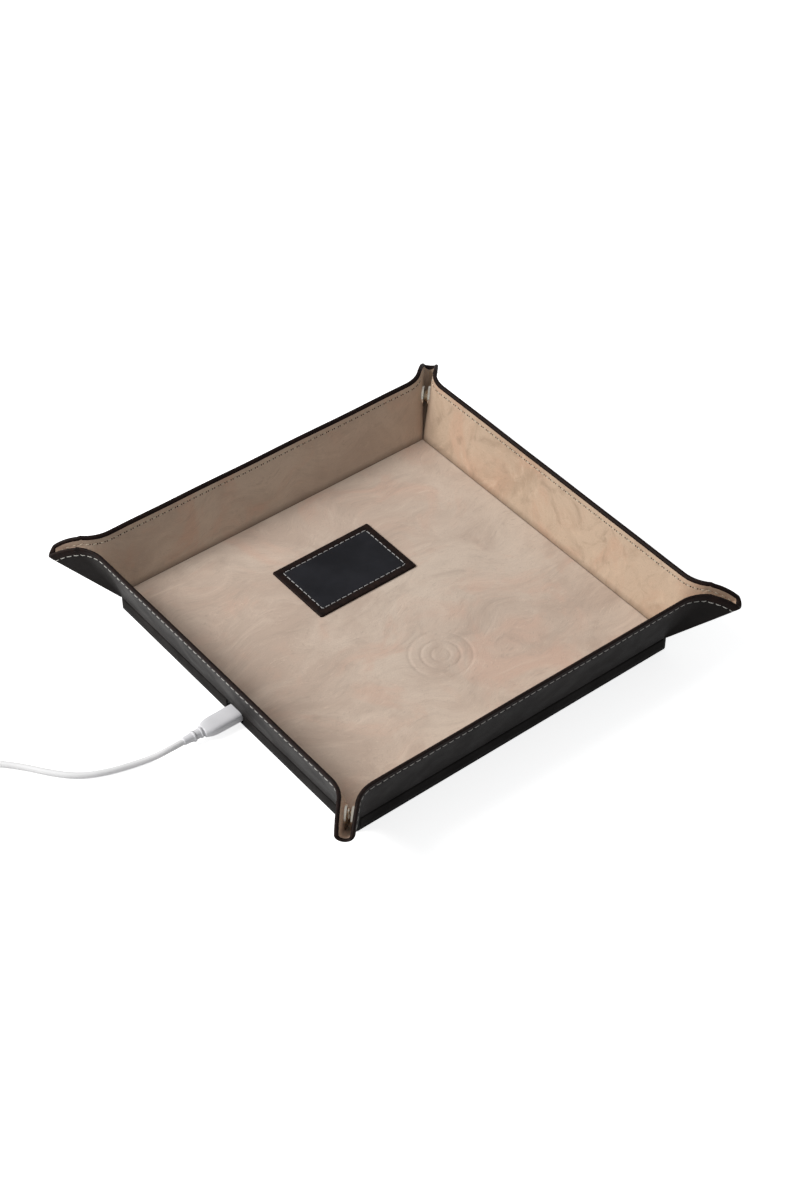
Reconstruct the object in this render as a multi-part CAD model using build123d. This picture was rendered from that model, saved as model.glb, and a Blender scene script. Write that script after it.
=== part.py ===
from build123d import *
from math import atan2, ceil, cos, degrees, hypot, pi, radians, sin, sqrt, tan
import os

# Square leather valet tray with a wireless charger in its base, and the cord that feeds it.
# A hide of outer leather and suede lining lies on a thin hard base. Its four walls lean outwards
# from a crease, and at each corner two walls are pinched into an ear that a press stud holds.
# Frame: origin at the centre of the base's footprint on the table, +Z up, the cord's socket on
# the -X side. All sizes are millimetres.

# Base and the plate that closes it
base_x = 210.0
base_y = 207.0
base_top = 9.9
base_corner_radius = 2.6
base_top_edge_radius = 0.4
housing_wall = 2.4
housing_roof = 1.6
foot_height = 0.8
cover_thickness = 1.6
cover_clearance = 0.15
rib_thickness = 1.2
rib_depth = 3.0
rib_spacing = 42.0
boss_radius = 3.2
boss_inset = 8.0
screw_shank_radius = 0.9
screw_hole_radius = 1.0
screw_head_radius = 1.9
screw_head_height = 1.0
screw_length = 5.4
screw_head_recess = 1.1
screw_head_clearance = 0.2
screw_slot_width = 0.5
screw_slot_depth = 0.4
foot_radius = 5.0
foot_seat_depth = 0.5
foot_inset = 20.0
foot_edge_radius = 0.3
overrun = 1.0

# Charger inside the base
charger_y = -41.7
coil_outer_radius = 21.5
coil_inner_radius = 10.2
coil_thickness = 1.2
coil_glue_gap = 0.05
ferrite_size = 46.0
ferrite_thickness = 0.6
ferrite_corner_radius = 3.0
coil_wall = 1.2
coil_wall_clearance = 0.8
board_length = 38.0
board_width = 30.0
board_thickness = 0.8
board_corner_radius = 1.5
board_side_gap = 0.3
chip_size = 5.0
chip_height = 0.9
chip_pitch = 9.0
capacitor_length = 3.2
capacitor_width = 1.6
capacitor_height = 1.5
capacitor_pitch = 4.4

# Socket in the base's side, and the plug in it
socket_y = -3.6
socket_width = 8.94
socket_height = 3.16
socket_wall = 0.3
socket_length = 7.4
socket_back = 0.4
tongue_width = 6.3
tongue_thickness = 0.7
tongue_length = 4.6
socket_hole_clearance = 0.12
recess_width = 13.4
recess_height = 7.2
recess_depth = 1.4
recess_corner_radius = 3.0
plug_shell_clearance = 0.06
plug_shell_wall = 0.32
plug_shell_length = 6.5
plug_face_gap = 0.25
plug_body_width = 12.0
plug_body_height = 6.5
plug_body_length = 22.15
plug_body_corner_radius = 2.6
plug_rear_width = 9.4
plug_rear_height = 5.6
plug_taper_length = 3.0
relief_length = 12.0
relief_start_radius = 2.7
relief_end_radius = 2.15
relief_ring_radius = 3.1
relief_ring_width = 1.3
relief_ring_pitch = 4.3

# Hide: outer leather, board stiffeners in the walls, suede lining
leather_thickness = 1.3
lining_thickness = 0.9
rim_z = 45.6
wall_lean = 12.4
seam_gap = 0.15
wall_board_thickness = 0.6
wall_board_foot = 3.0
wall_board_rim = 6.5
wall_board_end = 4.0
wall_board_clearance = 0.1
patch_x = 65.0
patch_y = 44.0
patch_centre_y = 41.2
patch_thickness = 1.2
patch_corner_radius = 1.0
patch_edge_radius = 0.35

# Ears: each corner's two halves, one on either side of the diagonal
corner_angle = 45.0
ear_bend_start = 3.9
ear_half_foot = 2.5
ear_half_rim = 5.9
ear_keel_foot = 0.5
ear_tip_reach = 36.8
ear_tip_z = 36.0
ear_drop_start = 14.0
ear_half_gap = 0.12
ear_foot_gap = 0.4
ear_seam_foot = 0.6
ear_seam_rim = 0.2

# Press studs in the ears
stud_reach_share = 0.413
stud_z = 29.5
stud_face_gap = 0.15
stud_disc_radius = 6.2
stud_disc_edge = 1.2
stud_boss_radius = 4.6
stud_dome_radius = 3.4
stud_edge_radius = 0.35
stud_post_radius = 1.7
stud_post_length = 1.2
stud_post_chamfer = 0.3
stud_hole_clearance = 0.35

# Cord: a round lead whose unseen length is wound and tied, and ends in a larger plug
cord_radius = 1.75
cord_sides = 8
cord_arc_share = 0.45
# Route from the strain relief's end, chosen by hand: out, down to the table and along it
cord_route = (
    (0, 0, 0),
    (-7.0, 0, 0),
    (-16.5, 1.6, -1.7),
    (-28.0, 5.3, -3.03),
    (-40.5, 9.0, -3.03),
    (-53.0, 15.4, -3.03),
    (-62.5, 25.6, -3.03),
    (-70.6, 37.2, -3.03),
    (-79.6, 47.6, -3.03),
    (-90.0, 56.8, -2.8),
    (-100.5, 62.8, -2.23),
    (-109.0, 68.0, -2.23),
)
winding_radius = 25.0
winding_step = 2.0
winding_half_turns = 7
winding_layer_step = 4.0
winding_lead_runs = (11.0, 12.0, 7.0)
tie_width = 10.0
tie_thickness = 0.6
tie_clearance = 0.3
tie_tail = 9.0
end_plug_width = 15.4
end_plug_height = 8.0
end_plug_length = 20.0
end_plug_corner_radius = 2.6
end_plug_axis_z = 4.2
end_relief_length = 5.0
end_relief_width = 7.0
end_relief_height = 5.6
end_relief_corner_radius = 2.2
end_shell_width = 12.0
end_shell_height = 4.5
end_shell_wall = 0.32
end_shell_length = 12.0
end_shell_corner_radius = 0.6
end_block_height = 1.9
end_block_clearance = 0.12
end_block_recess = 0.5
gap_sample_count = 1400
near_turn_share = 4

# Sizes that follow from the ones above
half_x = base_x / 2
half_y = base_y / 2
stud_reach = stud_reach_share * ear_tip_reach
hide_thickness = leather_thickness + lining_thickness
wall_rise = rim_z - base_top
floor_z = base_top + hide_thickness
cover_top = foot_height + cover_thickness
roof_under = base_top - housing_roof
board_top = cover_top + board_thickness
socket_z = board_top + socket_height / 2
recess_x = recess_depth - half_x
plug_face_x = recess_x - plug_face_gap
plug_rear_x = plug_face_x - plug_body_length
relief_end_x = plug_rear_x - relief_length
cord_diameter = 2 * cord_radius
seam_angle = corner_angle / 2
eighth_turn_tan = tan(radians(seam_angle))
outward = Vector(1, 1, 0) / sqrt(2)
across = Vector(1, -1, 0) / sqrt(2)
up = Vector(0, 0, 1)
diagonal_plane = Plane(origin=(0, 0, 0), x_dir=outward, z_dir=across)


def block(x0, x1, y0, y1, z0, z1):
    """Box between two corners."""
    box = Box(x1 - x0, y1 - y0, z1 - z0)
    return Pos((x0 + x1) / 2, (y0 + y1) / 2, (z0 + z1) / 2) * box


def cylinder(x, y, radius, z0, z1):
    """Upright cylinder."""
    return Pos(x, y, (z0 + z1) / 2) * Cylinder(radius, z1 - z0)


def across_x(y, z, x0, x1, width, height, corner):
    """Bar along X whose section is a rectangle with rounded corners."""
    plane = Plane(origin=(x0, y, z), x_dir=(0, 1, 0), z_dir=(1, 0, 0))
    return extrude(plane * RectangleRounded(width, height, corner), amount=x1 - x0)


def round_ended(y, z, x0, x1, width, height):
    """Bar along X whose section is a slot with half-round ends."""
    plane = Plane(origin=(x0, y, z), x_dir=(0, 1, 0), z_dir=(1, 0, 0))
    return extrude(plane * SlotOverall(width, height), amount=x1 - x0)


def signs():
    """The four corners, as pairs of signs."""
    return [(sx, sy) for sx in (1, -1) for sy in (1, -1)]


def loft_between(section, z0, z1, *sizes):
    """Ruled solid between one section function's outlines at two heights."""
    return Solid.make_loft([section(z0, *sizes), section(z1, *sizes)], ruled=True)


# Base


def rib_places(reach):
    """Both faces of each rib between the housing's walls, in order."""
    count = ceil(reach / rib_spacing) - 1
    middles = [step * rib_spacing for step in range(-count, count + 1)]
    return [(middle - rib_thickness / 2, middle + rib_thickness / 2) for middle in middles]


def base_housing():
    """Shallow tray of hard plastic, upside down, with bosses, ribs, coil wall and socket hole."""
    outer = block(-half_x, half_x, -half_y, half_y, foot_height, base_top)
    outer = fillet(outer.edges().filter_by(Axis.Z), base_corner_radius)
    outer = fillet(outer.edges().group_by(Axis.Z)[-1], base_top_edge_radius)
    inner_x = half_x - housing_wall
    inner_y = half_y - housing_wall
    shell = outer - block(-inner_x, inner_x, -inner_y, inner_y, foot_height - overrun, roof_under)
    rib_low = roof_under - rib_depth
    ribs = []
    for low, high in rib_places(inner_x):
        ribs.append(block(low, high, -inner_y, inner_y, rib_low, roof_under))
    for low, high in rib_places(inner_y):
        ribs.append(block(-inner_x, inner_x, low, high, rib_low, roof_under))
    pocket_radius = coil_outer_radius + coil_wall_clearance
    ferrite_reach = ferrite_size / 2 + coil_wall_clearance
    pocket = block(
        -ferrite_reach,
        ferrite_reach,
        charger_y - ferrite_reach,
        charger_y + ferrite_reach,
        rib_low - overrun,
        roof_under,
    )
    board_room = block(
        -inner_x,
        board_length + board_side_gap - inner_x + coil_wall_clearance,
        socket_y - board_width / 2 - coil_wall_clearance,
        socket_y + board_width / 2 + coil_wall_clearance,
        rib_low - overrun,
        roof_under,
    )
    frame = Part() + ribs
    frame = frame - pocket - board_room
    coil_ring = cylinder(0, charger_y, pocket_radius + coil_wall, roof_under - coil_thickness, roof_under)
    coil_ring = coil_ring - cylinder(0, charger_y, pocket_radius, rib_low, roof_under)
    bosses = [
        cylinder(sx * (half_x - boss_inset), sy * (half_y - boss_inset), boss_radius, cover_top, roof_under)
        for sx, sy in signs()
    ]
    holes = [
        cylinder(
            sx * (half_x - boss_inset),
            sy * (half_y - boss_inset),
            screw_hole_radius,
            cover_top - overrun,
            roof_under - screw_head_clearance,
        )
        for sx, sy in signs()
    ]
    shell = shell + frame + coil_ring + bosses - holes
    recess = across_x(
        socket_y,
        socket_z,
        -half_x - overrun,
        recess_x,
        recess_width,
        recess_height,
        recess_corner_radius,
    )
    hole = round_ended(
        socket_y,
        socket_z,
        -half_x - overrun,
        -inner_x + overrun,
        socket_width + 2 * socket_hole_clearance,
        socket_height + 2 * socket_hole_clearance,
    )
    return shell - recess - hole


def bottom_cover():
    """Plate that closes the base, with seats for the feet and sunk screw heads."""
    reach_x = half_x - housing_wall - cover_clearance
    reach_y = half_y - housing_wall - cover_clearance
    plate = block(-reach_x, reach_x, -reach_y, reach_y, foot_height, cover_top)
    for sx, sy in signs():
        x = sx * (half_x - boss_inset)
        y = sy * (half_y - boss_inset)
        head_radius = screw_head_radius + screw_head_clearance
        plate -= cylinder(x, y, head_radius, foot_height - overrun, foot_height + screw_head_recess)
        plate -= cylinder(x, y, screw_hole_radius, foot_height, cover_top + overrun)
        x = sx * (half_x - foot_inset)
        y = sy * (half_y - foot_inset)
        plate -= cylinder(x, y, foot_radius, foot_height - overrun, foot_height + foot_seat_depth)
    return plate


def cover_screws():
    """Four self-tapping screws, their heads sunk in the cover."""
    screws = []
    for sx, sy in signs():
        x = sx * (half_x - boss_inset)
        y = sy * (half_y - boss_inset)
        seat = foot_height + screw_head_recess
        low = seat - screw_head_height
        screw = cylinder(x, y, screw_head_radius, low, seat)
        screw += cylinder(x, y, screw_shank_radius, seat, seat + screw_length)
        slot_high = low + screw_slot_depth
        half_slot = screw_slot_width / 2
        reach = screw_head_radius
        screw -= block(x - reach, x + reach, y - half_slot, y + half_slot, low - overrun, slot_high)
        screw -= block(x - half_slot, x + half_slot, y - reach, y + reach, low - overrun, slot_high)
        screws.append(screw)
    return screws


def rubber_feet():
    """Four round feet set into the cover."""
    feet = []
    for sx, sy in signs():
        x = sx * (half_x - foot_inset)
        y = sy * (half_y - foot_inset)
        foot = cylinder(x, y, foot_radius, 0, foot_height + foot_seat_depth)
        feet.append(fillet(foot.edges().group_by(Axis.Z)[0], foot_edge_radius))
    return feet


# Charger


def charging_coil():
    """Flat winding under the roof."""
    high = roof_under - coil_glue_gap
    low = high - coil_thickness
    ring = cylinder(0, charger_y, coil_outer_radius, low, high)
    return ring - cylinder(0, charger_y, coil_inner_radius, low - overrun, high + overrun)


def ferrite_sheet():
    """Shield behind the winding."""
    high = roof_under - coil_glue_gap - coil_thickness
    low = high - ferrite_thickness
    sheet = Pos(0, charger_y, low) * RectangleRounded(ferrite_size, ferrite_size, ferrite_corner_radius)
    return extrude(sheet, amount=ferrite_thickness)


def board_x_range():
    """Both ends of the circuit board."""
    low = housing_wall + board_side_gap - half_x
    return low, low + board_length


def charger_board():
    """Circuit board that lies on the cover under the socket."""
    low, high = board_x_range()
    outline = Pos((low + high) / 2, socket_y, cover_top)
    outline = outline * RectangleRounded(board_length, board_width, board_corner_radius)
    return extrude(outline, amount=board_thickness)


def board_components():
    """Driver chips and the resonant capacitors, seated on the board."""
    low, high = board_x_range()
    chip_x = high - chip_pitch
    parts = []
    for side in (-1, 1):
        y = socket_y + side * chip_pitch / 2
        parts.append(
            block(
                chip_x - chip_size / 2,
                chip_x + chip_size / 2,
                y - chip_size / 2,
                y + chip_size / 2,
                board_top,
                board_top + chip_height,
            )
        )
    cap_x = chip_x - chip_pitch
    for step in (-1, 0, 1):
        y = socket_y + step * capacitor_pitch
        parts.append(
            block(
                cap_x - capacitor_length / 2,
                cap_x + capacitor_length / 2,
                y - capacitor_width / 2,
                y + capacitor_width / 2,
                board_top,
                board_top + capacitor_height,
            )
        )
    return parts


def usb_c_socket():
    """Metal sleeve with a closed back and the tongue inside it."""
    back = recess_x + socket_length
    cavity_width = socket_width - 2 * socket_wall
    cavity_height = socket_height - 2 * socket_wall
    sleeve = round_ended(socket_y, socket_z, recess_x, back, socket_width, socket_height)
    sleeve -= round_ended(
        socket_y,
        socket_z,
        recess_x - overrun,
        back - socket_back,
        cavity_width,
        cavity_height,
    )
    root = back - socket_back
    return sleeve + block(
        root - tongue_length,
        root,
        socket_y - tongue_width / 2,
        socket_y + tongue_width / 2,
        socket_z - tongue_thickness / 2,
        socket_z + tongue_thickness / 2,
    )


# Hide


def lean_at(z):
    """How far a wall's outer face stands out from the base at one height."""
    return wall_lean * (z - base_top) / wall_rise


def floor_outline(z):
    """Rectangle inside the four walls at one height."""
    inset = hide_thickness + seam_gap - lean_at(z)
    face = Pos(0, 0, z) * Rectangle(base_x - 2 * inset, base_y - 2 * inset)
    return face.wires()[0]


def ear_frame(z):
    """Half width, bend radius, bend centre and keel reach of an ear at one height."""
    share = (z - base_top) / wall_rise
    half = ear_half_foot + (ear_half_rim - ear_half_foot) * share
    lean = lean_at(z)
    tangent = lean + ear_bend_start - sqrt(2) * half
    bend = tangent / eighth_turn_tan
    start = sqrt(2) * lean - half + tangent
    centre = outward * start + across * (half + bend) + up * z
    keel = ear_keel_foot + (ear_tip_reach - ear_keel_foot) * (z - base_top) / (ear_tip_z - base_top)
    return half, bend, centre, start, keel


def bend_point(z, depth, turn):
    """Point of the bend at one height and depth, turned from the wall's end towards the ear."""
    half, bend, centre, start, keel = ear_frame(z)
    angle = pi - radians(turn)
    return centre + Vector(cos(angle), sin(angle), 0) * (bend + depth)


def wall_section(z, shallow, deep, half_length):
    """Outline of a wall at one height, with half of each end's bend; the wall faces +X."""

    def side(depth, sign):
        shift = Vector(0, half_length, 0)
        points = [bend_point(z, depth, turn) + shift for turn in (seam_angle, seam_angle / 2, 0)]
        return [Vector(p.X, sign * p.Y, p.Z) for p in points]

    far, near = side(shallow, 1), side(shallow, -1)
    far_deep, near_deep = side(deep, 1), side(deep, -1)
    return Wire(
        [
            ThreePointArc(far[0], far[1], far[2]),
            Line(far[2], near[2]),
            ThreePointArc(near[2], near[1], near[0]),
            Line(near[0], near_deep[0]),
            ThreePointArc(near_deep[0], near_deep[1], near_deep[2]),
            Line(near_deep[2], far_deep[2]),
            ThreePointArc(far_deep[2], far_deep[1], far_deep[0]),
            Line(far_deep[0], far[0]),
        ]
    )


def board_section(z, half_length, grow):
    """Outline of a wall's stiffener at one height; the wall faces +X."""
    outer = lean_at(z) - (leather_thickness - wall_board_thickness)
    inner = outer - wall_board_thickness
    reach = half_length - ear_bend_start - wall_board_end + grow
    corners = [(outer, reach, z), (outer, -reach, z), (inner, -reach, z), (inner, reach, z)]
    return Polyline(*corners, close=True).wire()


def wall_parts(half_length):
    """Leather, stiffener and lining of a wall that faces +X, its base edge at X = 0."""
    low = base_top + seam_gap
    leather = loft_between(wall_section, low, rim_z, 0, leather_thickness, half_length)
    lining = loft_between(wall_section, low, rim_z, leather_thickness, hide_thickness, half_length)
    foot = base_top + wall_board_foot
    top = rim_z - wall_board_rim
    gap = wall_board_clearance
    pocket = loft_between(board_section, foot - gap, top + gap, half_length, gap)
    stiffener = loft_between(board_section, foot, top, half_length, 0)
    return {"leather": leather - pocket, "board": stiffener, "lining": lining}


def ear_section(z, shallow, deep):
    """Outline of one ear half at one height, from the middle of the bend to the keel."""
    half, bend, centre, start, keel = ear_frame(z)
    hook = keel - half
    seam = ear_seam_foot + (ear_seam_rim - ear_seam_foot) * (z - base_top) / wall_rise
    first_turn = seam_angle + degrees(seam / (bend + hide_thickness))

    def side(depth):
        radius = half - depth
        channel = [outward * at + across * radius + up * z for at in (start, hook)]
        eighth = outward * (hook + radius * sin(pi / 4)) + across * radius * cos(pi / 4) + up * z
        return [
            bend_point(z, depth, first_turn),
            bend_point(z, depth, (first_turn + corner_angle) / 2),
            channel[0],
            channel[1],
            eighth,
            outward * (hook + radius) + up * z,
        ]

    out, back = side(shallow), side(deep)
    return Wire(
        [
            ThreePointArc(out[0], out[1], out[2]),
            Line(out[2], out[3]),
            ThreePointArc(out[3], out[4], out[5]),
            Line(out[5], back[5]),
            ThreePointArc(back[5], back[4], back[3]),
            Line(back[3], back[2]),
            ThreePointArc(back[2], back[1], back[0]),
            Line(back[0], out[0]),
        ]
    )


def ear_trim():
    """What is cut off an ear half: all above its falling rim, and the gap to its twin."""
    run = ear_tip_reach - ear_drop_start
    fall = rim_z - ear_tip_z
    radius = (run * run + fall * fall) / (2 * fall)
    half_turn = atan2(fall, run)
    middle = (
        ear_drop_start + radius * sin(half_turn),
        rim_z - radius * (1 - cos(half_turn)),
    )
    far = 2 * ear_tip_reach
    high = rim_z + overrun
    fall_arc = ThreePointArc((ear_drop_start, rim_z), middle, (ear_tip_reach, ear_tip_z))
    surround = Polyline(
        (ear_tip_reach, ear_tip_z),
        (far, ear_tip_z),
        (far, high),
        (ear_drop_start, high),
        (ear_drop_start, rim_z),
    )
    drop = Wire([fall_arc, *surround.edges()])
    upright = Plane(origin=(0, 0, 0), x_dir=outward, z_dir=-across)
    reach = 2 * wall_rise
    above = extrude(upright * Face(drop), amount=reach, both=True)
    return above, diagonal_side(ear_half_gap)


def diagonal_side(offset):
    """Block on the far side of the diagonal, up to an offset on the near side."""
    reach = 2 * wall_rise
    plane = diagonal_plane.offset(offset)
    return extrude(plane * Rectangle(2 * reach, 4 * reach), amount=-reach)


def ear_parts():
    """Leather and lining of the ear half on the X side of the corner at (+X, +Y)."""
    low = base_top + ear_foot_gap
    above, twin = ear_trim()
    leather = loft_between(ear_section, low, rim_z, 0, leather_thickness)
    lining = loft_between(ear_section, low, rim_z, leather_thickness, hide_thickness)
    return {"leather": leather - above - twin, "lining": lining - above - twin}


def stud_blank(profile):
    """Turned piece on the press stud's axis, its profile given as (radius, distance) pairs."""
    centre = outward * stud_reach + up * stud_z
    frame = Plane(origin=centre, x_dir=up, z_dir=up.cross(across))
    outline = frame * make_face(Polyline(*[(r, v) for r, v in profile], close=True))
    return revolve(outline, axis=Axis(centre, across))


def stud_depth():
    """Distance from the diagonal to the middle of the hide behind a press stud."""
    return ear_frame(stud_z)[0] - hide_thickness / 2


def press_socket(ear_hide):
    """Socket half of a press stud, seated on the lining."""
    hole = stud_post_radius + stud_hole_clearance
    bottom = stud_post_length + stud_hole_clearance
    seat = stud_depth()
    flange = stud_disc_edge
    face = stud_face_gap
    edge = stud_edge_radius
    blank = stud_blank(
        [
            (0, seat),
            (stud_disc_radius, seat),
            (stud_disc_radius, flange),
            (stud_boss_radius, flange - edge),
            (stud_boss_radius - edge, face),
            (hole, face),
            (hole, bottom),
            (0, bottom),
        ]
    )
    return blank - ear_hide


def press_stud(ear_hide):
    """Stud half of a press stud, with the post that enters the socket."""
    seat = stud_depth()
    flange = stud_disc_edge
    face = stud_face_gap
    edge = stud_edge_radius
    blank = stud_blank(
        [
            (0, seat),
            (stud_disc_radius, seat),
            (stud_disc_radius, flange),
            (stud_dome_radius, flange - edge),
            (stud_dome_radius - edge, face),
            (stud_post_radius, face),
            (stud_post_radius, stud_post_chamfer - stud_post_length),
            (stud_post_radius - stud_post_chamfer, -stud_post_length),
            (0, -stud_post_length),
        ]
    )
    return blank - ear_hide


def name_patch():
    """Plain leather patch sewn to the floor."""
    outline = Pos(0, patch_centre_y, floor_z) * RectangleRounded(patch_x, patch_y, patch_corner_radius)
    patch = extrude(outline, amount=patch_thickness)
    return fillet(patch.edges().group_by(Axis.Z)[-1], patch_edge_radius)


# Plug and cord


def usb_c_plug_shell():
    """Hollow metal shell that enters the socket."""
    width = socket_width - 2 * socket_wall - 2 * plug_shell_clearance
    height = socket_height - 2 * socket_wall - 2 * plug_shell_clearance
    front = plug_face_x + plug_shell_length
    shell = round_ended(socket_y, socket_z, plug_face_x, front, width, height)
    return shell - round_ended(
        socket_y,
        socket_z,
        plug_face_x,
        front + overrun,
        width - 2 * plug_shell_wall,
        height - 2 * plug_shell_wall,
    )


def usb_c_plug_body():
    """Overmould with a tapered rear."""
    shoulder = plug_rear_x + plug_taper_length
    body = across_x(
        socket_y,
        socket_z,
        shoulder,
        plug_face_x,
        plug_body_width,
        plug_body_height,
        plug_body_corner_radius,
    )
    sections = []
    for x, width, height in (
        (shoulder, plug_body_width, plug_body_height),
        (plug_rear_x, plug_rear_width, plug_rear_height),
    ):
        plane = Plane(origin=(x, socket_y, socket_z), x_dir=(0, 1, 0), z_dir=(1, 0, 0))
        sections.append((plane * RectangleRounded(width, height, plug_body_corner_radius)).wires()[0])
    return body + Solid.make_loft(sections, ruled=True)


def cord_strain_relief():
    """Tapered sleeve with two rings, behind the plug."""
    start = Vector(relief_end_x, socket_y, socket_z)
    axis = Axis(start, (1, 0, 0))
    frame = Plane(origin=start, x_dir=(1, 0, 0), z_dir=(0, -1, 0))
    taper = [
        (0, 0),
        (0, relief_end_radius),
        (relief_length, relief_start_radius),
        (relief_length, 0),
    ]
    sleeve = revolve(frame * make_face(Polyline(*taper, close=True)), axis=axis)
    for step in (0, 1):
        high = relief_length - relief_ring_width / 2 - step * relief_ring_pitch
        low = high - relief_ring_width
        ring = [(low, 0), (low, relief_ring_radius), (high, relief_ring_radius), (high, 0)]
        sleeve += revolve(frame * make_face(Polyline(*ring, close=True)), axis=axis)
    return sleeve


def route_points():
    """The free cord's points in the part's frame."""
    start = Vector(relief_end_x, socket_y, socket_z)
    return [start + Vector(*point) for point in cord_route]


def fillet_radii(points):
    """Radius of each arc, as large as its two runs allow."""
    radii = []
    for before, corner, after in zip(points, points[1:], points[2:]):
        run = min((corner - before).length, (after - corner).length)
        turn = radians((corner - before).get_angle(after - corner))
        radii.append(cord_arc_share * run / tan(turn / 2))
    return radii


def tube(path, name):
    """Cord along a path, with its volume printed against section times length."""
    start = Plane(origin=path @ 0, z_dir=path % 0)
    section = start * RegularPolygon(cord_radius, cord_sides)
    solid = sweep(section, path=path)
    expected = section.area * path.length
    print(f"{name}: length {path.length:.1f}, volume {solid.volume:.1f}, section x length {expected:.1f}")
    return solid


def free_cord():
    """The cord's stretch from the strain relief to the winding."""
    points = route_points()
    radii = fillet_radii(points)
    print("free_cord radii:", ", ".join(f"{radius:.0f}" for radius in radii))
    return tube(FilletPolyline(*points, radius=radii), "free_cord")


def winding_plane():
    """Plane of the winding: its X axis points from the centre to where the cord enters."""
    points = route_points()
    heading = (points[-1] - points[-2]).normalized()
    inward = heading.cross(up)
    centre = points[-1] + heading * cord_diameter + inward * winding_radius
    return Plane(origin=centre, x_dir=-inward, z_dir=up)


def winding_path():
    """Spiral in, a climb of one layer, spiral out, then a lead down to the end plug."""
    plane = winding_plane()
    layers = [winding_radius - step * winding_step for step in range(winding_half_turns)]
    climb = layers[-1] - winding_step
    spiral_out = list(reversed(layers))[:-1]
    entry = plane.from_local_coords((winding_radius, cord_diameter, 0))
    edges = [Line(entry, plane.from_local_coords((winding_radius, 0, 0)))]
    x = winding_radius
    z = 0.0
    sign = 1
    for radius in layers:
        edges.append(half_turn(plane, x, z, sign, radius))
        x -= 2 * sign * radius
        sign = -sign
    middle = (x - sign * climb, -sign * hypot(climb, winding_layer_step / 2), winding_layer_step / 2)
    start = plane.from_local_coords((x, 0, z))
    end = plane.from_local_coords((x - 2 * sign * climb, 0, winding_layer_step))
    centre = plane.from_local_coords(middle)
    heading = plane.y_dir * (-sign)
    first_rise = TangentArc(start, centre, tangent=heading)
    edges.append(first_rise)
    edges.append(TangentArc(centre, end, tangent=first_rise % 1))
    x -= 2 * sign * climb
    z = winding_layer_step
    sign = -sign
    for radius in spiral_out:
        edges.append(half_turn(plane, x, z, sign, radius))
        x -= 2 * sign * radius
        sign = -sign
    centre_x = x - sign * winding_radius
    corner = winding_radius * cos(pi / 4)
    edges.append(
        ThreePointArc(
            plane.from_local_coords((x, 0, z)),
            plane.from_local_coords((centre_x + sign * corner, -sign * corner, z)),
            plane.from_local_coords((centre_x, -sign * winding_radius, z)),
        )
    )
    return edges, plane, centre_x, -sign * winding_radius, z


def half_turn(plane, x, z, sign, radius):
    """Level half turn that starts on the plane's X axis."""
    return ThreePointArc(
        plane.from_local_coords((x, 0, z)),
        plane.from_local_coords((x - sign * radius, -sign * radius, z)),
        plane.from_local_coords((x - 2 * sign * radius, 0, z)),
    )


def winding():
    """Wound cord as one tube, and the plane and place where it ends."""
    edges, plane, x, y, z = winding_path()
    low = end_plug_axis_z - plane.origin.Z
    first, slope, last = winding_lead_runs
    lead = [
        Vector(x, y, z),
        Vector(x - first, y, z),
        Vector(x - first - slope, y, low),
        Vector(x - first - slope - last, y, low),
    ]
    points = [plane.from_local_coords(point) for point in lead]
    lead_path = FilletPolyline(*points, radius=fillet_radii(points))
    path = Wire(edges + list(lead_path.edges()))
    print_self_gap(path)
    return tube(path, "cord_coil"), plane, lead[-1]


def print_self_gap(path):
    """Least distance between the tube's own turns, measured on points."""
    places = [path @ (step / gap_sample_count) for step in range(gap_sample_count + 1)]
    spacing = path.length / gap_sample_count
    apart = ceil(near_turn_share * cord_diameter / spacing)
    least = min(
        (places[i] - places[j]).length
        for i in range(len(places))
        for j in range(i + apart, len(places))
    )
    print(f"cord_coil least self-gap {least - cord_diameter:.2f}")


def cord_tie(plane):
    """Strap round the winding's turns, with its tail."""
    outer_turn = winding_radius - winding_step
    inner_turn = winding_radius - winding_half_turns * winding_step
    half = tie_width / 2
    far = outer_turn + cord_radius + tie_clearance
    near = sqrt(inner_turn**2 - half**2) - cord_radius - tie_clearance - winding_step
    low = -cord_radius - tie_clearance / 2
    high = winding_layer_step + cord_radius + tie_clearance
    middle_line = plane.from_local_coords((-winding_step, 0, 0))
    section = Plane(origin=middle_line, x_dir=plane.y_dir, z_dir=plane.x_dir)
    middle = ((far + near) / 2, (low + high) / 2)
    hole = Pos(*middle) * RectangleRounded(far - near, high - low, cord_radius)
    wide = far - near + 2 * tie_thickness
    tall = high - low + 2 * tie_thickness
    loop = Pos(*middle) * RectangleRounded(wide, tall, cord_radius + tie_thickness)
    tail_high = high + tie_thickness
    tail = Pos(far - tie_tail / 2, tail_high + tie_thickness / 2) * Rectangle(tie_tail, tie_thickness)
    strap = extrude(section * (loop - hole), amount=half, both=True)
    return strap + extrude(section * tail, amount=half, both=True)


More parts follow.
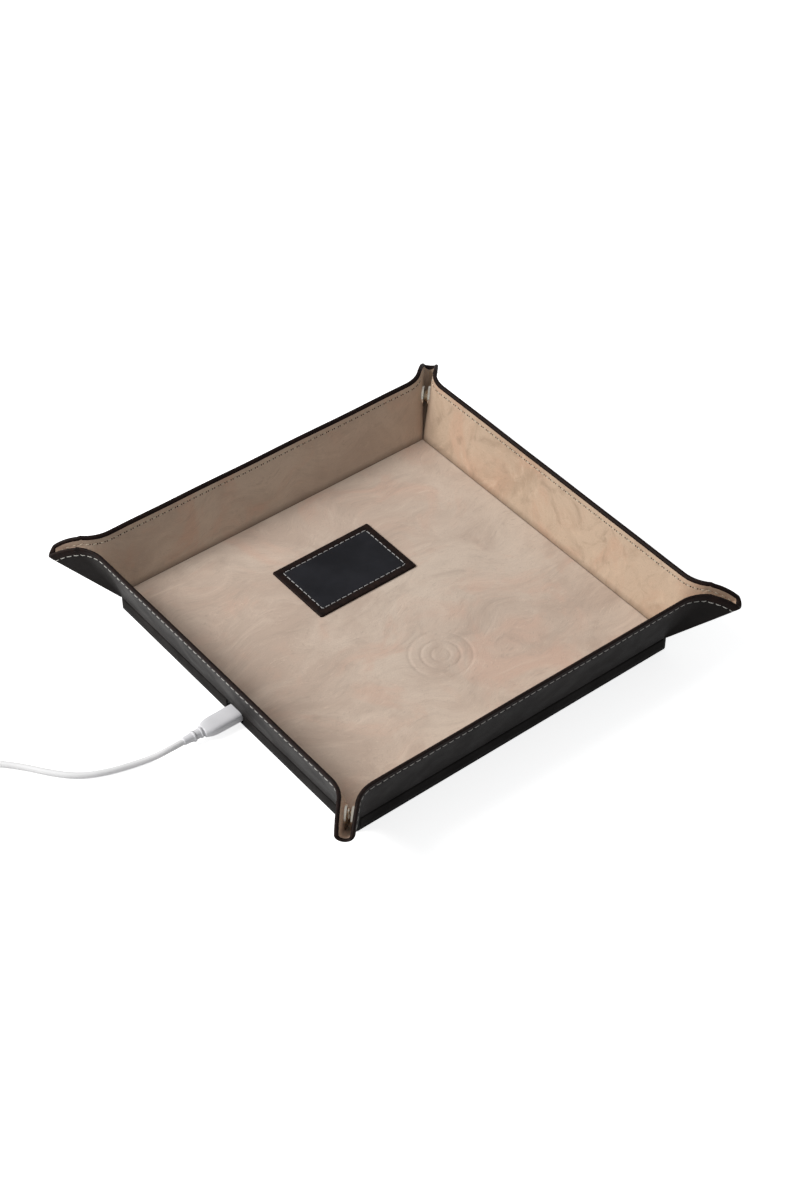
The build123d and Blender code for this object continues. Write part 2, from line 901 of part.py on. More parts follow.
def end_plug(plane, end):
    """Body, shell and contact block of the plug at the cord's far end."""
    origin = plane.from_local_coords(end)
    axis = Plane(origin=origin, x_dir=plane.y_dir, z_dir=-plane.x_dir)

    def bar(z0, z1, width, height, corner):
        outline = axis.offset(z0) * RectangleRounded(width, height, corner)
        return extrude(outline, amount=z1 - z0)

    body_end = end_relief_length + end_plug_length
    shell_end = body_end + end_shell_length
    body = bar(0, end_relief_length, end_relief_width, end_relief_height, end_relief_corner_radius)
    body += bar(
        end_relief_length,
        body_end,
        end_plug_width,
        end_plug_height,
        end_plug_corner_radius,
    )
    cavity_width = end_shell_width - 2 * end_shell_wall
    cavity_height = end_shell_height - 2 * end_shell_wall
    shell = bar(body_end, shell_end, end_shell_width, end_shell_height, end_shell_corner_radius)
    shell -= bar(
        body_end,
        shell_end + overrun,
        cavity_width,
        cavity_height,
        end_shell_corner_radius / 2,
    )
    drop = (cavity_height - end_block_height) / 2
    contact_width = cavity_width - end_shell_corner_radius - 2 * end_block_clearance
    contact = axis.offset(body_end) * Pos(0, -drop) * Rectangle(contact_width, end_block_height)
    block_length = end_shell_length - end_block_recess
    return body, shell, extrude(contact, amount=block_length)


# Writing the nodes


def place_corner(shape, sx, sy):
    """Mirror a piece made for the (+X, +Y) corner, whose corner is the origin, to another corner."""
    if sx < 0:
        shape = shape.mirror(Plane.YZ)
    if sy < 0:
        shape = shape.mirror(Plane.XZ)
    return Pos(sx * half_x, sy * half_y, 0) * shape


def write(name, shape):
    """Write one node; a list is a group of separate solids."""
    if isinstance(shape, list):
        shape = Compound(children=[s.solids()[0] for s in shape])
    solids = shape.solids()
    if len(solids) == 1:
        shape = solids[0]
    export_step(shape, f"parts/{name}.step")


side_names = {(1, 0): "right", (-1, 0): "port", (0, 1): "back", (0, -1): "front"}
corner_names = {(1, 1): "back_right", (-1, 1): "back_port", (-1, -1): "front_port", (1, -1): "front_right"}


def main():
    os.makedirs("parts", exist_ok=True)
    write("base_housing", base_housing())
    write("bottom_cover", bottom_cover())
    write("rubber_feet", rubber_feet())
    write("cover_screws", cover_screws())
    write("charging_coil", charging_coil())
    write("ferrite_sheet", ferrite_sheet())
    write("charger_board", charger_board())
    write("board_components", board_components())
    write("usb_c_socket", usb_c_socket())
    leather_top = base_top + leather_thickness
    write("floor_leather", loft_between(floor_outline, base_top, leather_top))
    write("floor_lining", loft_between(floor_outline, leather_top, floor_z))
    write("name_patch", name_patch())

    for half_length, along, turns in ((half_y, half_x, (0, 180)), (half_x, half_y, (90, 270))):
        parts = wall_parts(half_length)
        for turn in turns:
            side = (round(cos(radians(turn))), round(sin(radians(turn))))
            for kind, solid in parts.items():
                write(f"wall_{kind}_{side_names[side]}", Rot(0, 0, turn) * Pos(along, 0, 0) * solid)

    parts = ear_parts()
    hide = parts["leather"] + parts["lining"]
    halves = {"leather": parts["leather"], "lining": parts["lining"]}
    socket = press_socket(hide)
    stud = press_stud(hide)
    for corner, corner_name in corner_names.items():
        sx, sy = corner
        for kind, solid in halves.items():
            twin = solid.mirror(diagonal_plane)
            write(f"ear_{kind}_{corner_name}_x", place_corner(solid, sx, sy))
            write(f"ear_{kind}_{corner_name}_y", place_corner(twin, sx, sy))
        write(f"press_socket_{corner_name}", place_corner(socket, sx, sy))
        write(f"press_stud_{corner_name}", place_corner(stud.mirror(diagonal_plane), sx, sy))

    write("usb_c_plug_shell", usb_c_plug_shell())
    write("usb_c_plug_body", usb_c_plug_body())
    write("cord_strain_relief", cord_strain_relief())
    write("free_cord", free_cord())
    coil, plane, end = winding()
    write("cord_coil", coil)
    write("cord_tie", cord_tie(plane))
    body, shell, contact = end_plug(plane, end)
    write("usb_a_plug_body", body)
    write("usb_a_plug_shell", shell)
    write("usb_a_contact_block", contact)


main()
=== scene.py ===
import random
from bisect import bisect_left
from collections import namedtuple
from math import copysign, cos, exp, hypot, pi, radians, sin, sqrt, tan

import bpy
import numpy as np
from mathutils import Matrix, Vector, noise


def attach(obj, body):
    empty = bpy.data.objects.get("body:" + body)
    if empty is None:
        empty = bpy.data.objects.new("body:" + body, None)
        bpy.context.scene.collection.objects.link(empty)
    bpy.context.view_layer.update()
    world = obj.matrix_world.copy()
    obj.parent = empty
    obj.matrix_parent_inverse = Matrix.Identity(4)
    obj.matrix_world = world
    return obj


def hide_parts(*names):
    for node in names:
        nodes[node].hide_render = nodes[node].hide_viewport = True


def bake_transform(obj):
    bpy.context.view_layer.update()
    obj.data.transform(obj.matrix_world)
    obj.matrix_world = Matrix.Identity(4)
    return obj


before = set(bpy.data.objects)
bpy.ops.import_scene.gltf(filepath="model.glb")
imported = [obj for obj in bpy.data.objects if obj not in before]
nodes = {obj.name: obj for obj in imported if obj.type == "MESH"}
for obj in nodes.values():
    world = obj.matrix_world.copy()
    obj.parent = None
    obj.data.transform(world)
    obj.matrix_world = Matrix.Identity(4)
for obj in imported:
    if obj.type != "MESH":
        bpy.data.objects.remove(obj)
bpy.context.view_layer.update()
scene = bpy.context.scene
MM = 0.001

# Driving sizes, the same as in the part's source, in millimetres
half_x = 105.0
half_y = 103.5
base_top = 9.9
rim_z = 45.6
wall_lean = 12.4
leather = 1.3
hide = 2.2
floor_z = 12.1
ear_bend_start = 3.9
ear_half_foot = 2.5
ear_half_rim = 5.9
ear_keel_foot = 0.5
ear_tip_reach = 36.8
ear_tip_z = 36.0
ear_drop_start = 14.0
rise = rim_z - base_top
seam_turn = 22.5
seam_angle = radians(seam_turn)
ear_turn = 45.0
up = Vector((0, 0, 1))


def new_object(name, data):
    o = bpy.data.objects.new(name, data)
    scene.collection.objects.link(o)
    return o


# Camera: its focal length is in pixels of the 1200 pixel side, and its place in millimetres

view_focal = 2393.52
view_pixels = 1200
sensor_width = 36.0
view_pitch = radians(43.46)
view_yaw = radians(38.42)
view_distance = 1285.02
view_shift = (4.53, 14.73)
look_flat = Vector((sin(view_yaw), cos(view_yaw), 0))
view_right = Vector((cos(view_yaw), -sin(view_yaw), 0))
view_forward = look_flat * cos(view_pitch) - up * sin(view_pitch)
view_up = look_flat * sin(view_pitch) + up * cos(view_pitch)
eye = -view_forward * view_distance + view_right * view_shift[0] + view_up * view_shift[1]

camera_data = bpy.data.cameras.new("camera")
camera_data.sensor_width = sensor_width
camera_data.lens = view_focal / view_pixels * sensor_width
camera_data.clip_start = 0.01
camera_data.clip_end = 100
camera = new_object("camera", camera_data)
camera_turn = Matrix((view_right, view_up, -view_forward)).transposed().to_4x4()
camera.matrix_world = Matrix.Translation(eye * MM) @ camera_turn
scene.camera = camera

# Materials


class Graph:
    """Short hand for building the nodes of a material or a world."""

    def __init__(self, owner):
        owner.use_nodes = True
        self.owner = owner
        self.tree = owner.node_tree
        self.tree.nodes.clear()

    def add(self, kind, inputs=None, **props):
        n = self.tree.nodes.new(kind)
        for key, value in props.items():
            setattr(n, key, value)
        for key, value in (inputs or {}).items():
            if isinstance(value, bpy.types.NodeSocket):
                self.tree.links.new(value, n.inputs[key])
            else:
                n.inputs[key].default_value = value
        return n

    def math(self, op, a, b=0.0):
        return self.add("ShaderNodeMath", {0: a, 1: b}, operation=op).outputs[0]

    def times(self, a, b):
        return self.math("MULTIPLY", a, b)

    def mix(self, fac, a, b):
        return self.add("ShaderNodeMix", {"Factor": fac, 6: a, 7: b}, data_type="RGBA").outputs[2]

    def remap(self, value, low, high, to_low=0.0, to_high=1.0):
        inputs = {0: value, 1: low, 2: high, 3: to_low, 4: to_high}
        return self.add("ShaderNodeMapRange", inputs, interpolation_type="SMOOTHSTEP").outputs[0]

    def noise(self, vector, scale, detail=4.0, rough=0.55, distortion=0.0):
        settings = {"Scale": scale, "Detail": detail, "Roughness": rough, "Distortion": distortion}
        return self.add("ShaderNodeTexNoise", {"Vector": vector, **settings}).outputs[0]

    def stretch(self, vector, scale=(1, 1, 1), rotate=(0, 0, 0), move=(0, 0, 0)):
        settings = {"Location": move, "Rotation": rotate, "Scale": scale}
        return self.add("ShaderNodeMapping", {"Vector": vector, **settings}).outputs[0]

    def show(self, shader, kind="Material"):
        out = self.add(f"ShaderNodeOutput{kind}")
        self.tree.links.new(shader.outputs[0], out.inputs[0])
        return self.owner

    def finish(self, colour, rough, height, distance, strength, **more):
        """Principled shader with a bump from a height; returns the material."""
        bump = self.add("ShaderNodeBump", {"Strength": strength, "Distance": distance, "Height": height})
        names = {"specular": "Specular IOR Level", "sheen": "Sheen Weight", "metallic": "Metallic"}
        inputs = {names.get(key, key): value for key, value in more.items()}
        inputs.update({"Base Color": colour, "Roughness": rough, "Normal": bump.outputs[0]})
        return self.show(self.add("ShaderNodeBsdfPrincipled", inputs))


def start_material(name, rest=True):
    """Graph of a new material, and the place of a point: at rest, so that patterns don't slide in poses."""
    g = Graph(bpy.data.materials.new(name))
    if rest:
        return g, g.add("ShaderNodeAttribute", attribute_name="rest").outputs["Vector"]
    return g, g.add("ShaderNodeTexCoord").outputs["Object"]


def tone(colour, share=1.0, lift=0.0):
    """Opaque colour, made darker or lighter."""
    return (*(min(1.0, c * share + lift) for c in colour), 1.0)


def suede(name, light, dark, lie, streaks, seed):
    """Suede lining: clouds, strokes where the nap lies over, hair lines and a fine nap."""
    g, p = start_material(name)
    p = g.stretch(p, move=(seed, seed * 0.7, seed * 0.3))
    warp = g.add("ShaderNodeTexNoise", {"Vector": p, "Scale": 1.1, "Detail": 2.0}).outputs["Color"]
    bend = g.add("ShaderNodeVectorMath", {0: warp, 1: (0.5, 0.5, 0.5)}, operation="SUBTRACT").outputs[0]
    bend = g.add("ShaderNodeVectorMath", {0: bend, "Scale": 0.8}, operation="SCALE").outputs[0]
    flow = g.add("ShaderNodeVectorMath", {0: p, 1: bend}, operation="ADD").outputs[0]
    clouds = g.noise(flow, 1.5, 6.0, 0.62, 0.6)
    blush = g.noise(g.stretch(flow, move=(4.0, 1.0, 2.0)), 2.6, 5.0, 0.6, 0.8)
    brushed = g.noise(g.stretch(flow, scale=(1.0, 3.4, 3.4), rotate=(0, 0, lie)), 2.4, 5.0, 0.62, 0.9)
    colour = g.mix(g.remap(clouds, 0.38, 0.66), tone(light), tone(dark))
    rosy = tone((light[0] * 0.98, light[1] * 0.83, light[2] * 0.79))
    colour = g.mix(g.remap(blush, 0.47, 0.7, 0.0, 0.75), colour, rosy)
    dim = tone(dark, 0.74)
    colour = g.mix(g.remap(brushed, 0.5, 0.74, 0.0, streaks), colour, dim)
    bright = tone(light, 1.14)
    colour = g.mix(g.remap(brushed, 0.48, 0.3, 0.0, streaks), colour, bright)
    marks = []
    strokes = [(0.25, dim, 0.3), (1.35, bright, 0.3), (2.3, dim, 0.3), (0.8, bright, 0.28), (2.9, dim, 0.24)]
    for index, (angle, shade, amount) in enumerate(strokes):
        q = g.stretch(flow, scale=(1.0, 13.0, 13.0), rotate=(0, 0, lie + angle), move=(index * 3.1, 0, 0))
        hair = g.noise(q, 5.5, 3.0, 0.62, 1.4)
        mark = g.remap(hair, 0.6, 0.7)
        marks.append(mark)
        colour = g.mix(g.times(mark, amount), colour, shade)
    nap = g.noise(p, 190.0, 3.0, 0.75)
    colour = g.mix(g.remap(nap, 0.35, 0.75, 0.0, 0.22), colour, dim)
    speck = g.noise(p, 60.0, 3.0, 0.7)
    colour = g.mix(g.remap(speck, 0.62, 0.75, 0.0, 0.3), colour, dim)
    # Painted shade: dark brown laid where the lining meets the floor, in the crease
    crease_shade = g.add("ShaderNodeAttribute", attribute_name="crease_shade").outputs["Fac"]
    colour = g.mix(g.times(crease_shade, 0.9), colour, tone((0.075, 0.04, 0.022)))
    height = g.math("ADD", g.times(nap, 0.7), g.times(brushed, 1.3))
    for mark in marks:
        height = g.math("SUBTRACT", height, g.times(mark, 0.22))
    nap_sheen = {"Sheen Roughness": 0.5, "Sheen Tint": tone((1.0, 0.93, 0.85))}
    return g.finish(colour, 0.94, height, 0.00025, 0.6, specular=0.12, sheen=0.15, **nap_sheen)


def smooth_leather(name, colour, rough, grain, gloss):
    """Finished leather: fine pebble grain, faint creases and uneven polish."""
    g, p = start_material(name)
    cells = g.add("ShaderNodeTexVoronoi", {"Vector": p, "Scale": 120.0}, feature="DISTANCE_TO_EDGE")
    pebble = g.remap(cells.outputs[0], 0.0, 0.16)
    fold = g.noise(g.stretch(p, scale=(1, 1, 3)), 9.0, 4.0, 0.6, 0.6)
    fine = g.noise(p, 300.0, 2.0, 0.6)
    height = g.math("ADD", g.times(pebble, 0.5 * grain), g.times(fine, 0.3 * grain))
    height = g.math("ADD", height, g.times(fold, 1.5))
    wear = g.remap(g.noise(p, 5.0, 5.0, 0.6), 0.35, 0.75)
    tint = g.mix(wear, tone(colour), tone(colour, 1.7, 0.004))
    polish = g.remap(g.noise(p, 7.0, 4.0, 0.55), 0.3, 0.7, rough - 0.05, rough + 0.07)
    return g.finish(tint, polish, height, 0.00006, 0.5, specular=gloss)


def edge_paint():
    """Painted raw edge of the hide: brown-black, a little uneven."""
    g, p = start_material("edge_paint")
    blotch = g.noise(p, 40.0, 4.0, 0.6)
    tint = g.mix(g.remap(blotch, 0.35, 0.7), tone((0.0085, 0.005, 0.0045)), tone((0.019, 0.0105, 0.0085)))
    height = g.math("ADD", blotch, g.times(g.noise(p, 220.0, 2.0), 0.4))
    return g.finish(tint, g.remap(blotch, 0.3, 0.7, 0.5, 0.66), height, 0.0001, 0.5, specular=0.08)


def thread(name, colour):
    """Twisted sewing thread."""
    g, p = start_material(name)
    strand = g.noise(p, 420.0, 2.0, 0.7)
    # Painted shade: darker where the strands' bump is low, in the grooves between them
    tint = g.mix(g.remap(strand, 0.35, 0.65), tone(colour, 0.6), tone(colour))
    return g.finish(tint, 0.72, strand, 0.00012, 0.7, sheen=0.3)


def weave(name, colour, pitch):
    """Plain woven tape: threads that cross over and under, with a little fluff."""
    g, p = start_material(name)
    parts = g.add("ShaderNodeSeparateXYZ", {"Vector": p}).outputs
    waves = [g.math("SINE", g.times(axis, 100 * pi / pitch)) for axis in parts[:2]]
    crossing = g.times(*waves)
    fluff = g.noise(p, 260.0, 3.0, 0.7)
    height = g.math("ADD", crossing, fluff)
    # Painted shade: the threads darken where they dip under the crossing ones
    tint = g.mix(g.remap(crossing, -0.8, 0.6), tone(colour, 0.62), tone(colour))
    tint = g.mix(g.remap(fluff, 0.35, 0.75, 0.0, 0.3), tint, tone(colour, 0.7))
    return g.finish(tint, 0.85, height, 0.0001, 0.8, sheen=0.25)


def plastic(name, colour, rough, texture_scale, bump, rest=False, specular=0.5):
    """Moulded plastic: fine spark-eroded texture and a little unevenness of gloss."""
    g, p = start_material(name, rest)
    fine = g.noise(p, texture_scale, 3.0, 0.6)
    slow = g.noise(p, texture_scale * 0.03, 3.0, 0.5)
    tint = g.mix(g.remap(slow, 0.35, 0.7), tone(colour), tone(colour, 0.93))
    rough_out = g.remap(slow, 0.3, 0.7, rough - 0.04, rough + 0.05)
    return g.finish(tint, rough_out, fine, bump, 0.5, specular=specular)


def metal(name, colour, rough, stretch_by=(1, 1, 1)):
    """Plated or brushed metal with fine drawn lines."""
    g, p = start_material(name, False)
    p = g.stretch(p, scale=stretch_by)
    lines = g.noise(p, 2500.0, 3.0, 0.7)
    dull = g.noise(p, 300.0, 3.0, 0.6)
    tint = g.mix(g.remap(dull, 0.4, 0.75), tone(colour), tone(colour, 0.8))
    return g.finish(tint, g.remap(lines, 0.2, 0.8, rough, rough + 0.12), lines, 0.00002, 0.4, metallic=1.0)


lining_floor = suede("suede_floor", (0.665, 0.55, 0.455), (0.55, 0.43, 0.35), 0.5, 0.4, 3.1)
# The walls' suede: copies of the floor's suede in darker tones, painted shade for how each wall is lit, each
# with its own nap lie and streaks
right_suede_painted_shade = suede("suede_right_painted_shade", (0.59, 0.455, 0.34), (0.46, 0.335, 0.24), 1.57, 0.6, 7.7)
walls_suede_painted_shade = suede("suede_walls_painted_shade", (0.64, 0.515, 0.41), (0.52, 0.405, 0.32), 0.35, 0.3, 12.4)
outer_leather = smooth_leather("outer_leather", (0.0100, 0.0082, 0.0076), 0.5, 1.0, 0.09)
base_leather = smooth_leather("base_leather", (0.0080, 0.0067, 0.0062), 0.55, 1.0, 0.06)
patch_leather = smooth_leather("patch_leather", (0.0045, 0.0048, 0.0072), 0.5, 0.7, 0.2)
paint = edge_paint()
pale_thread = thread("thread_pale", (0.68, 0.66, 0.61))
tan_thread = thread("thread_tan", (0.7, 0.62, 0.48))
grey_thread = thread("thread_grey", (0.5, 0.5, 0.5))
tie_weave = weave("tie_weave", (0.62, 0.62, 0.63), 0.55)
# Painted shade: dark discs that stand for the shadow inside the needle holes
hole_painted_shade = plastic("needle_hole_painted_shade", (0.018, 0.013, 0.013), 0.9, 300.0, 0.00001, rest=True, specular=0.1)
base_black = plastic("base_plastic", (0.005, 0.005, 0.0052), 0.55, 2600.0, 0.00006, specular=0.12)
rubber_black = plastic("foot_rubber", (0.018, 0.018, 0.018), 0.85, 1800.0, 0.00005, specular=0.3)
white_plastic = plastic("plug_plastic", (0.8, 0.8, 0.83), 0.38, 2400.0, 0.00002)
cord_white = plastic("cord_sheath", (0.86, 0.86, 0.87), 0.5, 1500.0, 0.00003)
board_green = plastic("circuit_board", (0.015, 0.11, 0.045), 0.35, 800.0, 0.00003)
component_black = plastic("component_plastic", (0.02, 0.02, 0.02), 0.55, 1800.0, 0.00003)
contact_white = plastic("contact_plastic", (0.72, 0.72, 0.7), 0.45, 1500.0, 0.00002)
press_board = plastic("stiffener_board", (0.36, 0.29, 0.21), 0.85, 900.0, 0.0001)
stud_metal = metal("stud_metal", (0.72, 0.66, 0.57), 0.16)
plug_metal = metal("plug_metal", (0.66, 0.66, 0.67), 0.28, (0.15, 1, 1))
screw_metal = metal("screw_steel", (0.5, 0.5, 0.52), 0.3)
copper = metal("coil_copper", (0.78, 0.38, 0.2), 0.35)
ferrite_grey = plastic("ferrite", (0.05, 0.05, 0.055), 0.7, 900.0, 0.00003)

# Mesh helpers


def make_mesh(name, points, faces, material, slot, mats=None, crease_shade=None, sharp=None, rest_at=None):
    """Object from points in millimetres; its rest places are kept as an attribute for the materials."""
    data = bpy.data.meshes.new(name)
    data.from_pydata([Vector(p) * MM for p in points], [], faces)
    materials = material if isinstance(material, list) else [material]
    for m in materials:
        data.materials.append(m)
    if mats is not None:
        data.polygons.foreach_set("material_index", mats)
    data.polygons.foreach_set("use_smooth", [True] * len(faces))
    rest = data.attributes.new("rest", "FLOAT_VECTOR", "POINT")
    rest_points = np.array([tuple(p) for p in (rest_at or points)], np.float32)
    rest.data.foreach_set("vector", rest_points.ravel() * 0.01)
    # Painted shade for the crease, kept as an attribute for the suede
    if crease_shade is not None:
        a = data.attributes.new("crease_shade", "FLOAT", "POINT")
        a.data.foreach_set("value", np.array(crease_shade, np.float32))
    data.update()
    if sharp is not None:
        data.set_sharp_from_angle(angle=radians(sharp))
    o = new_object(name, data)
    return o


def ring_faces(count, ring, offset=0):
    """Quads between closed rings of points that follow each other."""
    starts = [offset + i * ring for i in range(count - 1)]
    edges = [(start + j, start + (j + 1) % ring) for start in starts for j in range(ring)]
    return [(a, b, b + ring, a + ring) for a, b in edges]


def end_faces(total, ring, offset=0):
    """The first and the last ring's own faces, for a body closed at both ends."""
    return [tuple(offset + k for k in reversed(range(ring))), tuple(range(total - ring, total))]


def close_sheet(points, nx, ny, low):
    """Faces of a grid of points, with sides and a flat bottom added down to a height."""
    corners = [i * ny + j for i in range(nx - 1) for j in range(ny - 1)]
    faces = [(a, a + ny, a + ny + 1, a + 1) for a in corners]
    border = [i * ny for i in range(nx)]
    border += [(nx - 1) * ny + j for j in range(1, ny)]
    border += [i * ny + ny - 1 for i in reversed(range(nx - 1))]
    border += list(reversed(range(1, ny - 1)))
    start, n = len(points), len(border)
    points += [(points[b][0], points[b][1], low) for b in border]
    faces += [(border[(k + 1) % n], border[k], start + k, start + (k + 1) % n) for k in range(n)]
    faces.append(tuple(start + k for k in reversed(range(n))))
    return faces


def circle(count):
    """Cosine and sine at equal steps round a circle."""
    return [(cos(2 * pi * k / count), sin(2 * pi * k / count)) for k in range(count)]


def turned(point, angle):
    c, s = cos(angle), sin(angle)
    return Vector((point[0] * c - point[1] * s, point[0] * s + point[1] * c, point[2]))


# Supply cord

socket_y = -3.6
socket_z = 4.78
exit_point = Vector((-138.0, socket_y, socket_z))
cord_route = [
    (0, 0, 0), (-7.0, 0, 0), (-16.5, 1.6, -1.7), (-28.0, 5.3, -3.03), (-40.5, 9.0, -3.03),
    (-53.0, 15.4, -3.03), (-62.5, 25.6, -3.03), (-70.6, 37.2, -3.03), (-79.6, 47.6, -3.03),
    (-90.0, 56.8, -2.8), (-100.5, 62.8, -2.23), (-109.0, 68.0, -2.23),
]
cord_radius = 1.75
winding_radius = 25.0
winding_step = 2.0
winding_layer_step = 4.0
winding_lead_runs = (11.0, 12.0, 7.0)
winding_layers_wide = 7
end_plug_axis_z = 4.2
points_per_half = 8
swell = 1 / 0.985

route = [exit_point + Vector(p) for p in cord_route]
heading = (route[-1] - route[-2]).normalized()
inward = heading.cross(up)
winding_centre = route[-1] + heading * 2 * cord_radius + inward * winding_radius
winding_x = -inward
winding_y = up.cross(winding_x)


def winding_place(x, y, z):
    return winding_centre + winding_x * x + winding_y * y + up * z


def half_turn(middle, sign, r, z0, z1, count):
    """Points of a half turn of the winding that climbs from one height to another."""
    out = []
    for k in range(count):
        share = (k + 0.5) / points_per_half
        a = share * pi
        reach = sign * r * swell
        out.append(winding_place(middle + reach * cos(a), -reach * sin(a), z0 + (z1 - z0) * share))
    return out


cord_points = list(route)
x, sign = winding_radius, 1
inner_layers = [winding_radius - k * winding_step for k in range(winding_layers_wide)]
turns = [(r, 0.0, 0.0) for r in inner_layers]
turns += [(inner_layers[-1] - winding_step, 0.0, winding_layer_step)]
turns += [(r, winding_layer_step, winding_layer_step) for r in inner_layers[:0:-1]]
for r, z0, z1 in turns:
    cord_points += half_turn(x - sign * r, sign, r, z0, z1, points_per_half)
    x -= 2 * sign * r
    sign = -sign
end_x, end_y = x - sign * winding_radius, -sign * winding_radius
level = winding_layer_step
cord_points += half_turn(end_x, sign, winding_radius, level, level, points_per_half // 2)
first, slope, last = winding_lead_runs
end_low = end_plug_axis_z - winding_centre.z
cord_points.append(winding_place(end_x - first, end_y, level))
cord_points.append(winding_place(end_x - first - slope, end_y, end_low))
cord_end = winding_place(end_x - first - slope - last, end_y, end_low)
cord_points.append(cord_end)

cord_curve = bpy.data.curves.new("supply_cord", "CURVE")
cord_curve.dimensions = "3D"
cord_curve.bevel_depth = cord_radius * MM
cord_curve.bevel_resolution = 6
cord_curve.use_fill_caps = True
cord_curve.resolution_u = 8
spline = cord_curve.splines.new("NURBS")
spline.points.add(len(cord_points) - 1)
for p, at in zip(spline.points, cord_points):
    p.co = (*(at * MM), 1.0)
spline.order_u = 3
spline.use_endpoint_u = True
cord_curve.materials.append(cord_white)
supply_cord = new_object("supply_cord", cord_curve)
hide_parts("free_cord", "cord_coil")
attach(supply_cord, "cord")


def loft(name, origin, along, wide, stations, slot, segments=40):
    """Closed plastic body through superellipse sections: (distance, width, height, exponent) each."""
    points = []
    for distance, width, height, power in stations:
        for c, s in circle(segments):
            u = copysign(abs(c) ** (2 / power), c) * width / 2
            v = copysign(abs(s) ** (2 / power), s) * height / 2
            points.append(origin + along * distance + wide * u + up * v)
    faces = ring_faces(len(stations), segments) + end_faces(len(points), segments)
    return make_mesh(name, points, faces, white_plastic, slot, sharp=50)


plug_face_x = -103.85
plug_length = 22.15
minus_x, plus_y = Vector((-1, 0, 0)), Vector((0, 1, 0))
plug_stations = [
    (0.0, 10.2, 5.3, 3.4), (0.12, 10.7, 5.7, 3.4), (0.4, 11.0, 6.0, 3.4), (0.9, 11.2, 6.2, 3.4),
    (6.0, 11.2, 6.2, 3.4), (12.0, 11.2, 6.2, 3.3), (16.0, 11.1, 6.2, 3.2), (18.0, 10.7, 6.1, 3.0),
    (19.6, 9.9, 5.9, 2.8), (20.9, 8.9, 5.6, 2.6), (21.7, 8.2, 5.4, 2.5), (22.0, 7.8, 5.2, 2.4),
    (plug_length, 7.2, 4.8, 2.3),
]
plug_origin = Vector((plug_face_x, socket_y, socket_z))
plug_body = loft("plug_body", plug_origin, minus_x, plus_y, plug_stations, "plug_plastic")


def relief_ring(start):
    """(distance, diameter) pairs of one raised ring of the strain relief."""
    wide, chamfered = 6.2, 5.95
    rises = [(0, 5.5), (0.08, chamfered), (0.25, wide), (1.05, wide), (1.22, chamfered), (1.3, 5.35)]
    return [(start + d, diameter) for d, diameter in rises]


relief_profile = [(-1.0, 5.0), (0.0, 5.4), (0.55, 5.4), *relief_ring(0.65), (3.0, 5.2), (4.8, 5.1)]
relief_profile += [*relief_ring(4.95), (8.0, 4.75), (11.3, 4.35), (11.8, 4.2), (12.0, 3.8)]
relief_stations = [(d, diameter, diameter, 2.0) for d, diameter in relief_profile]
relief_start = plug_origin + minus_x * plug_length
relief = loft("strain_relief", relief_start, minus_x, plus_y, relief_stations, "cord_sheath")

end_stations = [
    (-0.1, 4.0, 3.8, 2.0), (0.1, 5.6, 4.6, 2.2), (0.5, 6.6, 5.3, 2.4), (1.2, 7.0, 5.6, 2.6),
    (4.4, 7.0, 5.6, 2.6), (5.0, 8.0, 6.0, 2.8), (5.3, 12.6, 7.2, 3.4), (5.9, 14.8, 7.8, 4.0),
    (7.0, 15.4, 8.0, 4.2), (15.0, 15.4, 8.0, 4.2), (24.2, 15.4, 8.0, 4.2), (24.8, 15.0, 7.7, 4.0),
    (25.0, 14.2, 7.0, 3.8),
]
end_body = loft("end_plug_body", cord_end, -winding_x, winding_y, end_stations, "plug_plastic", 56)

tie_width = 10.0
tie_thickness = 0.6
tie_gap = 0.3
tie_tail = 9.0


def strap(path, normals, along, closed):
    """Points, faces and flat places of a woven tape laid along a path."""
    half, thick = tie_width / 2, tie_thickness / 2
    edge = [(-half, 0.0), (-half + 0.1, 0.6), (-half + 0.4, 1.0)]
    ribs = [(-half + 0.4 + (tie_width - 0.8) * k / 12, 1.0 - 0.12 * (k % 2)) for k in range(1, 12)]
    upper = edge + ribs + [(-u, v) for u, v in reversed(edge)]
    profile = upper + [(u, -v) for u, v in reversed(upper[1:-1])]
    points, flat = [], []
    for p, n, s in zip(path, normals, along):
        for u, v in profile:
            points.append(p + winding_x * u + n * (v * thick))
            flat.append((s, u, v * thick))
    ring, last = len(profile), len(points) - len(profile)
    faces = ring_faces(len(path), ring)
    if closed:
        faces += [(last + j, last + (j + 1) % ring, (j + 1) % ring, j) for j in range(ring)]
    else:
        faces += end_faces(len(points), ring)
    return points, faces, flat


